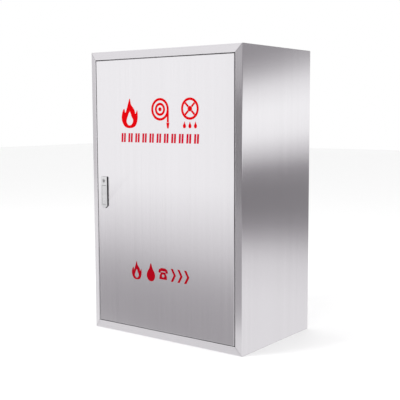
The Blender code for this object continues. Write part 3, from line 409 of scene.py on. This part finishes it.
def turnedInto(work, profile, matrix, segments=72, rounding=0.0008, sweep=360.0, start=0.0):
    # spins a closed profile of (radius, height) about local Z, and caps it where the turn isn't a full one
    made = [work.verts.new((radius, 0, height)) for radius, height in roundedProfile(profile, rounding)]
    edges = [work.edges.new((made[i - 1], made[i])) for i in range(len(made))]
    bmesh.ops.rotate(work, verts=made, cent=(0, 0, 0), matrix=Matrix.Rotation(math.radians(start), 3, "Z"))
    known = set(work.verts) - set(made)
    full = sweep >= 360
    bmesh.ops.spin(work, geom=made + edges, axis=(0, 0, 1), cent=(0, 0, 0), angle=math.radians(sweep),
                   steps=segments, use_merge=full)
    fresh = [vert for vert in work.verts if vert not in known]
    bmesh.ops.remove_doubles(work, verts=fresh, dist=2e-6)
    fresh = [vert for vert in work.verts if vert not in known]
    loose = [edge for vert in fresh for edge in vert.link_edges if not edge.link_faces]
    bmesh.ops.delete(work, geom=list(set(loose)), context="EDGES")
    fresh = [vert for vert in work.verts if vert not in known]
    if not full:
        rim = {edge for vert in fresh for edge in vert.link_edges if edge.is_boundary}
        bmesh.ops.holes_fill(work, edges=list(rim), sides=0)
    bmesh.ops.transform(work, verts=fresh, matrix=matrix)


def sweepThrough(work, loops):
    # extrudes a closed loop from place to place, and caps both ends
    verts = [work.verts.new(spot) for spot in loops[0]]
    edges = [work.edges.new((verts[i - 1], verts[i])) for i in range(len(verts))]
    first = list(verts)
    for loop in loops[1:]:
        made = bmesh.ops.extrude_edge_only(work, edges=edges)["geom"]
        fresh = {part for part in made if isinstance(part, bmesh.types.BMVert)}
        verts = [next(edge.other_vert(vert) for edge in vert.link_edges if edge.other_vert(vert) in fresh)
                 for vert in verts]
        for vert, spot in zip(verts, loop):
            vert.co = spot
        edges = [part for part in made if isinstance(part, bmesh.types.BMEdge)
                 and all(vert in fresh for vert in part.verts)]
    for ends in (first, verts):
        bmesh.ops.contextual_create(work, geom=ends)


def meshFrom(work, name, angle=30):
    bmesh.ops.recalc_face_normals(work, faces=work.faces)
    mesh = bpy.data.meshes.new(name)
    work.to_mesh(mesh)
    work.free()
    finishMesh(mesh, angle)
    return mesh


def turnedMesh(name, profile, matrix, segments=72, rounding=0.0008):
    work = bmesh.new()
    turnedInto(work, profile, matrix, segments, rounding)
    return meshFrom(work, name)


# cabinet walls and door

walls = {"left_side_panel": ("leftWall", "left"), "right_side_panel": ("rightWall", "right"),
         "top_panel": ("topWall", "top"), "bottom_panel": ("bottomWall", "bottom")}
for node, (name, look) in walls.items():
    smoothCopy(node, name, "cabinet", looks[look], 0.00025, 42)
smoothCopy("back_panel", "backWall", "cabinet", looks["inner"], 0.0002)
smoothCopy("door_skin", "doorSkin", "door", looks["door"], 0.0, 50, False)
smoothCopy("door_stiffener", "doorStiffener", "door", looks["inner"], 0.0002, 50)
print("walls and door finished")

# finish of the CAD nodes that stay

nodeLooks = {
    "zinc": ["hinge_pin_top", "hinge_pin_bottom", "hinge_washer", "strike_plate", "flap_pin",
             "latch_cam", "cam_nut", "lock_nut", "lock_screw", "handwheel_nut", "cradle_bracket",
             "cradle_rivet_left", "cradle_rivet_right", "clip_rivet_lower", "clip_rivet_upper",
             "knockout_plug", "pipe_nut", "inlet_nipple"],
    "black": ["magnet_catch"],
    "rubber": ["bumper_top", "bumper_bottom", "pipe_grommet", "outlet_seal", "body_gasket", "disc_seal"],
    "nylon": ["hinge_bush_top", "hinge_bush_bottom"],
    "brass": ["valve_disc", "valve_stem"],
}
for look, nodes in nodeLooks.items():
    for node in nodes:
        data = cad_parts[node].data
        data.materials.clear()
        data.materials.append(looks[look])

# plane lock

smoothCopy("lock_body", "lockBody", "door", looks["black"], 0.0003, 30, False)
smoothCopy("lock_face", "lockFace", "door", looks["chrome"], 0.0004, 30, False)
smoothCopy("pull_flap", "pullFlap", "flap", looks["chrome"], 0.0003, 30, False)
keyPiece = smoothCopy("lock_cylinder", "lockCylinder", "lock", looks["chrome"], 0.0, 30,
                      False)
keyLow, keyHigh = (Vector(corner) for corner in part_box("lock_cylinder"))
keyAxis = (keyLow + keyHigh) / 2
# how far out and how deep the painted shade in the key's cross slot reaches
paintedSlotShade = {"reach": 0.0050, "from": 0.0002, "to": 0.0040}
keyPiece.data.materials.append(looks["black"])
# painted shade: the walls and floor of the key's cross slot are chrome like the rest of the cylinder, but
# get the black material so the slot reads dark
for face in keyPiece.data.polygons:
    off = math.hypot(face.center.x - keyAxis.x, face.center.z - keyAxis.z)
    deep = face.center.y - keyLow.y
    if off < paintedSlotShade["reach"] and paintedSlotShade["from"] < deep < paintedSlotShade["to"]:
        face.material_index = 1
print("lock finished")

# signs on the door

doorLow = Vector(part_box("door_skin")[0])
signs = {"film": 0.00018, "lift": 0.00003, "bigTop": 0.835, "bigHeight": 0.102, "bigWidth": 0.076,
         "centres": (-0.146, -0.0085, 0.1185), "bandLow": 0.684, "bandHigh": 0.7155, "bandLeft": -0.185,
         "bandRight": 0.167, "marks": 11, "smallCentre": 0.234}


def splinePoints(knots, steps=6):
    out = []
    total = len(knots)
    for i in range(total):
        a, b, c, d = (Vector(knots[(i + k - 1) % total]) for k in range(4))
        for k in range(steps):
            s = k / steps
            out.append(0.5 * ((2 * b) + (c - a) * s + (2 * a - 5 * b + 4 * c - d) * s**2
                              + (3 * b - 3 * c + d - a) * s**3))
    return [(p.x, p.y) for p in out]


def circlePoints(x, z, radius, steps=40, start=0.0, end=math.tau):
    count = steps if end - start >= math.tau else steps + 1
    angles = [start + (end - start) * k / steps for k in range(count)]
    return [(x + radius * math.cos(a), z + radius * math.sin(a)) for a in angles]


def signMesh(name, groups, x, z, width, height):
    work = bmesh.new()
    y = doorLow.y - signs["lift"]
    for loops in groups:
        edges = []
        for loop in loops:
            verts = [work.verts.new((x + px * width, y, z + pz * height)) for px, pz in loop]
            edges += [work.edges.new((verts[i - 1], verts[i])) for i in range(len(verts))]
        bmesh.ops.triangle_fill(work, edges=edges, use_beauty=True, use_dissolve=False)
    bmesh.ops.solidify(work, geom=work.faces[:], thickness=signs["film"])
    bmesh.ops.recalc_face_normals(work, faces=work.faces)
    mesh = bpy.data.meshes.new(name)
    work.to_mesh(mesh)
    work.free()
    high = max(v.co.y for v in mesh.vertices)
    mesh.transform(Matrix.Translation((0, doorLow.y - signs["lift"] - high, 0)))
    return mesh


flameKnots = [(0.02, 0.5), (0.10, 0.30), (0.30, 0.12), (0.36, -0.02), (0.47, 0.10), (0.49, -0.18),
              (0.36, -0.42), (0.06, -0.50), (-0.28, -0.45), (-0.47, -0.22), (-0.44, 0.02),
              (-0.32, 0.16), (-0.25, 0.02), (-0.14, 0.20)]
flameHole = [(0.02, 0.06), (0.12, -0.10), (0.22, -0.24), (0.12, -0.38), (-0.06, -0.40), (-0.18, -0.28),
             (-0.12, -0.12)]
dropKnots = [(0.0, 0.5), (0.14, 0.22), (0.32, -0.02), (0.36, -0.24), (0.22, -0.44), (0.0, -0.5),
             (-0.22, -0.44), (-0.36, -0.24), (-0.32, -0.02), (-0.14, 0.22)]


def flameSign():
    return [[splinePoints(flameKnots), splinePoints(flameHole)]]


def ringLoops(x, z, outer, inner, squash):
    return [[(px, z + (pz - z) * squash) for px, pz in circlePoints(x, z, radius)]
            for radius in (outer, inner)]


def barLoop(start, end, half, squash):
    first, last = Vector(start), Vector(end)
    side = (last - first).orthogonal().normalized() * half
    corners = (first + side, last + side, last - side, first - side)
    return [(c.x, c.y * squash) for c in corners]


def reelSign():
    shape = signs["bigWidth"] / signs["bigHeight"]
    centre = 0.5 - 0.5 * shape
    groups = [ringLoops(0, centre, 0.5, 0.39, shape), ringLoops(0, centre, 0.29, 0.18, shape),
              [ringLoops(0, centre, 0.09, 0.01, shape)[0]]]
    groups.append([[(0.39, centre), (0.5, centre), (0.5, -0.30), (0.39, -0.30)]])
    groups.append([[(0.36, -0.31), (0.53, -0.31), (0.485, -0.5), (0.405, -0.5)]])
    return groups


def wheelSign():
    shape = signs["bigWidth"] / signs["bigHeight"]
    centre = 0.14
    groups = [ringLoops(0, centre, 0.48, 0.37, shape), [ringLoops(0, centre, 0.12, 0.01, shape)[0]]]
    for k in range(4):
        angle = math.tau * (k + 0.5) / 4
        along = Vector((math.cos(angle), math.sin(angle)))
        bar = barLoop(along * 0.13, along * 0.36, 0.045, 1.0)
        groups.append([[(px, centre + pz * shape) for px, pz in bar]])
    for x in (-0.3, 0.0, 0.3):
        groups.append([[(x + px * 0.22, -0.38 + pz * 0.22) for px, pz in splinePoints(dropKnots)]])
    return groups


def handsetSign():
    body = [(-0.5, 0.12), (-0.44, 0.36), (-0.2, 0.48), (0.2, 0.48), (0.44, 0.36), (0.5, 0.12), (0.42, 0.06),
            (0.26, 0.08), (0.24, 0.22), (-0.24, 0.22), (-0.26, 0.08), (-0.42, 0.06)]
    base = [(-0.2, 0.14), (0.2, 0.14), (0.38, -0.16), (0.4, -0.46), (-0.4, -0.46), (-0.38, -0.16)]
    return [[body], [base, circlePoints(0, -0.16, 0.13, 24)]]


def chevronSign():
    groups = []
    for k in range(3):
        x = -0.5 + k * 0.36
        outline = [(x, 0.5), (x + 0.12, 0.5), (x + 0.28, 0), (x + 0.12, -0.5), (x, -0.5), (x + 0.16, 0)]
        groups.append([outline])
    return groups


def hatchBand():
    # a row of small paired strokes
    groups = []
    step = 1 / signs["marks"]
    for k in range(signs["marks"]):
        for offset in (0.0, 0.36):
            x = -0.5 + (k + offset) * step
            stroke = [(x, -0.5), (x + step * 0.24, -0.5), (x + step * 0.3, 0.5), (x + step * 0.06, 0.5)]
            groups.append([stroke])
    return groups


def addSign(name, groups, x, z, width, height, look="signBright"):
    addPiece(name, signMesh(name, groups, x, z, width, height), "door", looks[look])


bigMiddle = signs["bigTop"] - signs["bigHeight"] / 2
bigSigns = {"signFlame": flameSign(), "signReel": reelSign(), "signWheel": wheelSign()}
for (name, groups), x in zip(bigSigns.items(), signs["centres"]):
    addSign(name, groups, x, bigMiddle, signs["bigWidth"], signs["bigHeight"])
bandMiddle = (signs["bandLeft"] + signs["bandRight"]) / 2
addSign("signBand", hatchBand(), bandMiddle, (signs["bandLow"] + signs["bandHigh"]) / 2,
        signs["bandRight"] - signs["bandLeft"], signs["bandHigh"] - signs["bandLow"], "signBand")
smallSigns = {"signSmallFlame": (flameSign(), -0.122, 0.046, 0.066),
              "signSmallDrop": ([[splinePoints(dropKnots)]], -0.056, 0.052, 0.064),
              "signHandset": (handsetSign(), -0.001, 0.042, 0.042),
              "signChevrons": (chevronSign(), 0.0725, 0.080, 0.045)}
for name, (groups, x, width, height) in smallSigns.items():
    addSign(name, groups, x, signs["smallCentre"], width, height, "signDeep")
print("signs finished")

# hose valve

valveLow, valveHigh = (Vector(corner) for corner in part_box("valve_bonnet"))
stemX, stemY = (valveLow.x + valveHigh.x) / 2, (valveLow.y + valveHigh.y) / 2
upright = Matrix.Translation((stemX, stemY, 0))
forward = Matrix.Rotation(math.radians(90), 4, "X")
leftward = Matrix.Rotation(math.radians(-90), 4, "Y")
wheelShape = {"rim": 0.007, "hub": 0.014, "bore": 0.0063, "spokes": 4, "spokeFrom": 0.0105,
              "spokeRoot": 0.0065, "spokeEnd": 0.0048, "spokeFlat": 0.78, "dish": 0.006}
clawSlot = {"half": 0.017, "middleRadius": 0.045}


def bonnetMesh():
    low = valveLow.z
    profile = [(0.0083, low + 0.038), (0.0175, low + 0.038), (0.0190, low + 0.022), (0.0230, low + 0.016),
               (0.0460, low + 0.012), (0.058, low + 0.010), (0.058, low), (0.0083, low)]
    return turnedMesh("valveBonnet", profile, upright, 96, 0.0016)


def handwheelMesh():
    low, high = (Vector(corner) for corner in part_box("handwheel"))
    tube = wheelShape["rim"]
    ring, level = (high.x - low.x) / 2 - tube, high.z - tube
    work = bmesh.new()
    circle = [(ring + tube * math.cos(a), level + tube * math.sin(a))
              for a in (-math.tau * k / 20 for k in range(20))]
    turnedInto(work, circle, upright, 128, 0)
    bore, outer = wheelShape["bore"], wheelShape["hub"]
    hub = [(bore, level + 0.0038), (outer - 0.0010, level + 0.0038), (outer, level - 0.001),
           (outer + 0.002, low.z), (bore, low.z)]
    turnedInto(work, hub, upright, 48, 0.0010)
    first, root, end = wheelShape["spokeFrom"], wheelShape["spokeRoot"], wheelShape["spokeEnd"]
    for k in range(wheelShape["spokes"]):
        turn = Matrix.Rotation(math.tau * (k + 0.5) / wheelShape["spokes"], 4, "Z")
        loops = []
        for j in range(9):
            share = j / 8
            reach = first + (ring - first) * share
            dip = wheelShape["dish"] * (share**1.5 - 1)
            thick = root + (end - root) * math.sin(share * math.pi / 2)
            oval = [(thick * math.cos(a), wheelShape["spokeFlat"] * thick * math.sin(a))
                    for a in (math.tau * i / 14 for i in range(14))]
            place = upright @ turn
            loops.append([place @ Vector((reach, side, level + dip + rise)) for side, rise in oval])
        sweepThrough(work, loops)
    return meshFrom(work, "handWheel", 40)


def clawMesh(name, body, rim, matrix):
    # a turned body, and two claws standing on it, either side of a slot along local X
    work = bmesh.new()
    turnedInto(work, body, matrix, 96, 0.0007)
    gap = math.degrees(math.asin(clawSlot["half"] / clawSlot["middleRadius"]))
    for start in (gap, 180 + gap):
        turnedInto(work, rim, matrix, 40, 0.0007, 180 - 2 * gap, start)
    return meshFrom(work, name, 34)


def couplingMesh(name, matrix):
    body = [(0.027, 0.062), (0.049, 0.062), (0.049, 0.0535), (0.0475, 0.0525), (0.0475, 0.0455),
            (0.049, 0.0445), (0.049, 0.038), (0.037, 0.036), (0.037, 0.030), (0.0305, 0.030),
            (0.0305, 0), (0.027, 0)]
    rim = [(0.041, 0.072), (0.049, 0.072), (0.049, 0.0605), (0.041, 0.0605)]
    return clawMesh(name, body, rim, matrix)


def outletMesh():
    low, high = (Vector(corner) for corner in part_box("outlet_coupling"))
    matrix = Matrix.Translation((stemX, low.y + 0.026, (low.z + high.z) / 2)) @ forward
    body = [(0.030, 0.016), (0.049, 0.016), (0.049, 0.0115), (0.0476, 0.0105), (0.0476, 0.0045),
            (0.049, 0.0035), (0.049, -0.006), (0.044, -0.014), (0.0383, -0.014), (0.0383, 0.0003),
            (0.030, 0.0003)]
    rim = [(0.041, 0.026), (0.049, 0.026), (0.049, 0.0145), (0.041, 0.0145)]
    return clawMesh("outletCoupling", body, rim, matrix)


addPiece("valveBonnet", bonnetMesh(), "cabinet", looks["red"], ("valve_bonnet",))
addPiece("handWheel", handwheelMesh(), "spindle", looks["red"], ("handwheel",))
addPiece("outletCoupling", outletMesh(), "cabinet", looks["aluminium"],
         ("outlet_coupling",))
smoothCopy("valve_body", "valveBody", "cabinet", looks["red"], 0.0012, 32, False)
smoothCopy("gland_nut", "glandNut", "cabinet", looks["brass"], 0.0007, 30, False)
print("valve finished")

# hose roll: one flat hose wound in a spiral, its tail, its couplings and the strap

rollLow, rollHigh = (Vector(corner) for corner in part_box("hose_roll"))
rollAt = (rollLow + rollHigh) / 2
rollRadius = (rollHigh.x - rollLow.x) / 2
spiral = {"core": 0.0626, "pitch": 0.0026, "thick": 0.00235, "perTurn": 60, "leave": 38, "wander": 0.0016}


def hoseSection(half, thick):
    # the flat hose seen end on, its two folded edges rounded
    edge = [(0.50, -0.0030), (0.38, -0.0010), (0.0, 0.0), (-0.38, -0.0010), (-0.50, -0.0030)]
    return [(a * thick, half + b) for a, b in edge] + [(-a * thick, -half - b) for a, b in edge]


def spiralMesh():
    work = bmesh.new()
    outer = rollRadius - spiral["thick"] / 2 - 0.0001
    turns = (outer - spiral["core"] - spiral["thick"] / 2) / spiral["pitch"]
    count = int(turns * spiral["perTurn"])
    half = (rollHigh.y - rollLow.y) / 2
    loops = []
    for k in range(count + 1):
        around = math.tau * k / spiral["perTurn"]
        radius = outer - spiral["pitch"] * around / math.tau
        angle = math.radians(spiral["leave"]) - around
        shift = spiral["wander"] * (0.6 * math.sin(around * 0.31 + 1) + 0.4 * math.sin(around * 1.7) - 1)
        section = hoseSection(half + shift * 0.5, spiral["thick"])
        loops.append([(rollAt.x + (radius + a) * math.cos(angle), rollAt.y + b,
                       rollAt.z + (radius + a) * math.sin(angle)) for a, b in section])
    sweepThrough(work, loops)
    return meshFrom(work, "hoseSpiral", 60)


tail = {"neck": 0.036, "flat": 0.0013, "crease": 0.05, "socket": 0.857, "follow": 0.143, "deep": 0.028,
        "sides": 40, "steps": 40}


def tailMesh():
    # the tail leaves the spiral flat, opens on its way and slips round over the coupling's neck
    lift = 0.049 + 0.0015
    at = math.radians(spiral["leave"])
    start = Vector((math.cos(at), math.sin(at))) * (rollRadius + spiral["pitch"])
    leave = Vector((-math.sin(at), math.cos(at)))
    end = Vector((0.0203, rollRadius + lift))
    reach = (end - start).length * 0.45
    a, b, c, d = start, start + leave * reach, end + Vector((reach, 0)), end
    work = bmesh.new()
    loops, sides = [], tail["sides"]
    for j in range(tail["steps"] + 1):
        share = j / tail["steps"]
        s = 1 - share
        centre = a * s**3 + b * (3 * s * s * share) + c * (3 * s * share**2) + d * share**3
        slope = (b - a) * (3 * s * s) + (c - b) * (6 * s * share) + (d - c) * (3 * share**2)
        tangent = slope.normalized()
        up = Vector((-tangent.y, tangent.x))
        ease = share * share * (3 - 2 * share)
        wide = (rollHigh.y - rollLow.y) / 2 * (1 - ease) + tail["neck"] * ease
        thick = tail["flat"] * (1 - ease) + tail["neck"] * ease
        loop = []
        for angle in (math.tau * k / sides for k in range(sides)):
            crease = 1 + tail["crease"] * (1 - ease) * math.cos(2 * angle) * math.sin(math.pi * share)
            spot = centre + up * (thick * crease * math.sin(angle))
            loop.append(Vector((rollAt.x + spot.x, rollAt.y + wide * math.cos(angle), rollAt.z + spot.y)))
        loops.append(loop)
    mouth = Vector((0, rollAt.y, rollAt.z + rollRadius + lift))
    rim, scale, follow = loops[-1], tail["socket"], tail["follow"]
    # the socket that takes the coupling's neck
    for deep in (0, tail["deep"]):
        loops.append([mouth + (spot - mouth) * scale + Vector((spot.x * follow + deep, 0, 0))
                      for spot in rim])
    sweepThrough(work, loops)
    return meshFrom(work, "hoseTail", 50)


outerLow, outerHigh = (Vector(corner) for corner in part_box("hose_coupling_outer"))
innerLow, innerHigh = (Vector(corner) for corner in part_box("hose_coupling_inner"))
outerAt = Matrix.Translation((outerHigh.x, rollAt.y, (outerLow.z + outerHigh.z) / 2)) @ leftward
innerAt = Matrix.Translation((innerHigh.x, rollAt.y, (innerLow.z + innerHigh.z) / 2)) @ leftward
addPiece("hoseSpiral", spiralMesh(), "hose", looks["hose"], ("hose_roll",))
addPiece("hoseTail", tailMesh(), "hose", looks["hose"], ("hose_tail",))
for name, matrix, node in (("hoseCouplingOuter", outerAt, "hose_coupling_outer"),
                           ("hoseCouplingInner", innerAt, "hose_coupling_inner")):
    addPiece(name, couplingMesh(name, matrix), "hose", looks["aluminium"], (node,))
smoothCopy("hose_strap", "hoseStrap", "hose", looks["webbing"], 0.0005, 30, False)
print("hose finished")

# nozzle

nozzleLow, nozzleHigh = (Vector(corner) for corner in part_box("nozzle_barrel"))
nozzleX, nozzleY = (nozzleLow.x + nozzleHigh.x) / 2, (nozzleLow.y + nozzleHigh.y) / 2
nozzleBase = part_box("nozzle_coupling")[0][2]
nozzleAt = Matrix.Translation((nozzleX, nozzleY, nozzleBase))
ribs = {"count": 9, "deep": 0.0006, "low": 0.112, "high": 0.180, "wall": 0.0353, "crest": 0.0375}


def barrelMesh():
    profile = [(0.0110, 0.360), (0.0185, 0.360), (0.0200, 0.280), (0.0350, 0.190), (0.0350, 0.0463),
               (0.0370, 0.0453), (0.0370, 0.0423), (0.0308, 0.0423), (0.0308, 0.0725),
               (0.0275, 0.0725), (0.0275, 0.185)]
    return turnedMesh("nozzleBarrel", profile, nozzleAt, 96, 0.0012)


def tipMesh():
    profile = [(0.0095, 0.395), (0.0150, 0.395), (0.0165, 0.391), (0.0165, 0.3683), (0.0205, 0.3663),
               (0.0205, 0.3603), (0.0095, 0.3603)]
    return turnedMesh("nozzleTip", profile, nozzleAt, 72, 0.0006)


def gripMesh():
    wall, crest = ribs["wall"], ribs["crest"]
    profile = [(wall, ribs["high"] + 0.002), (crest, ribs["high"] + 0.001)]
    step = (ribs["high"] - ribs["low"]) / ribs["count"]
    for k in range(ribs["count"]):
        top = ribs["high"] - step * k
        profile += [(crest, top - step * 0.55), (crest - ribs["deep"], top - step * 0.68),
                    (crest - ribs["deep"], top - step * 0.87), (crest, top - step)]
    profile += [(wall, ribs["low"] - 0.002)]
    return turnedMesh("nozzleGrip", profile, nozzleAt, 72, 0.0003)


upsideDown = nozzleAt @ Matrix.Translation((0, 0, 0.072)) @ Matrix.Rotation(math.pi, 4, "X")
addPiece("nozzleBarrel", barrelMesh(), "nozzle", looks["aluminium"], ("nozzle_barrel",))
addPiece("nozzleTip", tipMesh(), "nozzle", looks["brass"], ("nozzle_tip",))
addPiece("nozzleGrip", gripMesh(), "nozzle", looks["rubber"], ("nozzle_grip",))
addPiece("nozzleCoupling", couplingMesh("nozzleCoupling", upsideDown), "nozzle",
         looks["aluminium"], ("nozzle_coupling",))
for node, name in (("nozzle_clip_lower", "clipLower"), ("nozzle_clip_upper", "clipUpper"),
                   ("hose_cradle", "hoseCradle")):
    smoothCopy(node, name, "cabinet", looks["inner"], 0.0003, 30, False)
print("nozzle finished")

# light, floor and what the steel mirrors

studio = {"world": 1.0, "floor": 0.93, "floorHalf": 14}
lights = {"keyLight": ((-1.6, -2.4, 2.6), 60, 1.6), "fillLight": ((2.6, -0.4, 2.0), 30, 1.8)}


def cardMaterial(name, stops, low, high, fan=0.0):
    made = bpy.data.materials.new(name)
    made.use_nodes = True
    made.node_tree.nodes.clear()
    place = addNode(made, "ShaderNodeNewGeometry")
    parts = addNode(made, "ShaderNodeSeparateXYZ")
    join(made, place.outputs["Position"], parts.inputs["Vector"])
    spread = maths(made, "MULTIPLY", maths(made, "SUBTRACT", parts.outputs["Y"], cards["fanFrom"]), -fan)
    above = maths(made, "SUBTRACT", parts.outputs["Z"], cards["pivot"])
    # the bands widen away from the pivot height
    fanned = maths(made, "MULTIPLY", above, maths(made, "ADD", spread, 1))
    height = ranged(made, maths(made, "ADD", fanned, cards["pivot"]), 0, 1, low, high)
    ramp = addNode(made, "ShaderNodeValToRGB")
    elements = ramp.color_ramp.elements
    while len(elements) < len(stops):
        elements.new(0.5)
    for element, (z, value) in zip(elements, stops):
        element.position = (z - low) / (high - low)
        element.color = (value, value * (1 - cards["tinge"] * (1 - value)), value, 1)
    join(made, height, ramp.inputs["Fac"])
    glow = addNode(made, "ShaderNodeEmission")
    join(made, ramp.outputs["Color"], glow.inputs["Color"])
    out = addNode(made, "ShaderNodeOutputMaterial")
    join(made, glow.outputs["Emission"], out.inputs["Surface"])
    made.cycles.emission_sampling = "NONE"
    return made


def addCard(name, corners, material):
    work = bmesh.new()
    work.faces.new([work.verts.new(corner) for corner in corners])
    mesh = bpy.data.meshes.new(name)
    work.to_mesh(mesh)
    work.free()
    mesh.materials.append(material)
    card = bpy.data.objects.new(name, mesh)
    scene.collection.objects.link(card)
    card.visible_camera = card.visible_diffuse = card.visible_shadow = False
    card.visible_transmission = card.visible_volume_scatter = False


cards = {"low": -2.2, "high": 3.4, "near": -1.2, "at": -0.45, "slope": 0.22, "left": -2.6, "split": 0.05,
         "side": 0.83, "back": 2.2, "tinge": 0.06, "pivot": 0.55, "fan": 0.39, "fanFrom": 0.67}
# each stop is a height and how bright the card is there
frontStops = [(-2.2, 0.78), (-0.54, 0.78), (-0.44, 0.33), (-0.30, 0.34), (-0.19, 0.375), (-0.12, 0.405),
              (-0.06, 0.445), (0.01, 0.52), (0.08, 0.63), (0.15, 0.715), (0.22, 0.79), (0.30, 0.87),
              (0.42, 0.97), (1.13, 0.98), (1.25, 0.80), (3.4, 0.80)]
dimStops = [(-2.2, 0.85), (-0.16, 0.78), (-0.10, 0.52), (-0.03, 0.42), (0.10, 0.385), (0.34, 0.325),
            (0.43, 0.225), (0.60, 0.20), (0.80, 0.19), (0.86, 0.28), (0.93, 0.40), (1.05, 0.44),
            (3.4, 0.55)]
leftStops = [(-2.2, 0.86), (-0.5, 0.88), (-0.2, 0.91), (0.01, 0.88), (0.11, 0.85), (0.21, 0.80),
             (0.315, 0.70), (0.42, 0.59), (0.52, 0.56), (0.82, 0.60), (1.13, 0.65), (3.4, 0.68)]
sideStops = [(-2.2, 0.85), (-0.03, 0.80), (0.12, 0.72), (0.176, 0.62), (0.229, 0.46), (0.29, 0.30),
             (0.36, 0.23), (0.45, 0.22), (0.53, 0.28), (0.60, 0.62), (0.68, 0.96), (0.80, 1.0),
             (0.90, 0.82), (0.97, 0.45), (1.05, 0.28), (1.5, 0.5), (3.4, 0.8)]


def cardAcross(name, start, end, stops, fan=0.0):
    low, high = cards["low"], cards["high"]
    corners = [(*start, low), (*end, low), (*end, high), (*start, high)]
    addCard(name, corners, cardMaterial(name, stops, low, high, fan))


def frontLine(x):
    return x, cards["near"] + cards["slope"] * (x - cards["at"])


cardAcross("frontCard", frontLine(cards["left"]), frontLine(cards["split"]), frontStops)
cardAcross("dimCard", frontLine(cards["split"]), frontLine(cards["side"]), dimStops)
cardAcross("rightCard", frontLine(cards["side"]), (cards["side"], cards["back"]), sideStops, cards["fan"])
cardAcross("leftCard", (cards["left"], cards["back"]), frontLine(cards["left"]), leftStops)


def addFloor():
    work = bmesh.new()
    bmesh.ops.create_grid(work, x_segments=1, y_segments=1, size=studio["floorHalf"])
    mesh = bpy.data.meshes.new("floor")
    work.to_mesh(mesh)
    work.free()
    paint = newMaterial("floorPaint", (studio["floor"],) * 3, 0.9)
    mesh.materials.append(paint)
    floor = bpy.data.objects.new("floor", mesh)
    scene.collection.objects.link(floor)
    floor.visible_glossy = False


def addLight(name, spot, power, size):
    lamp = bpy.data.lights.new(name, "AREA")
    lamp.energy, lamp.size = power, size
    thing = bpy.data.objects.new(name, lamp)
    aim = (Vector((0, 0, middle.z)) - Vector(spot)).to_track_quat("-Z", "Y")
    thing.matrix_world = Matrix.Translation(spot) @ aim.to_matrix().to_4x4()
    thing.visible_glossy = False
    scene.collection.objects.link(thing)


addFloor()
for name, (spot, power, size) in lights.items():
    addLight(name, spot, power, size)
world = bpy.data.worlds.new("studioWorld")
world.use_nodes = True
world.node_tree.nodes["Background"].inputs["Color"].default_value = (1, 1, 1, 1)
world.node_tree.nodes["Background"].inputs["Strength"].default_value = studio["world"]
world.cycles.sampling_method = "NONE"
scene.world = world
print("studio set")
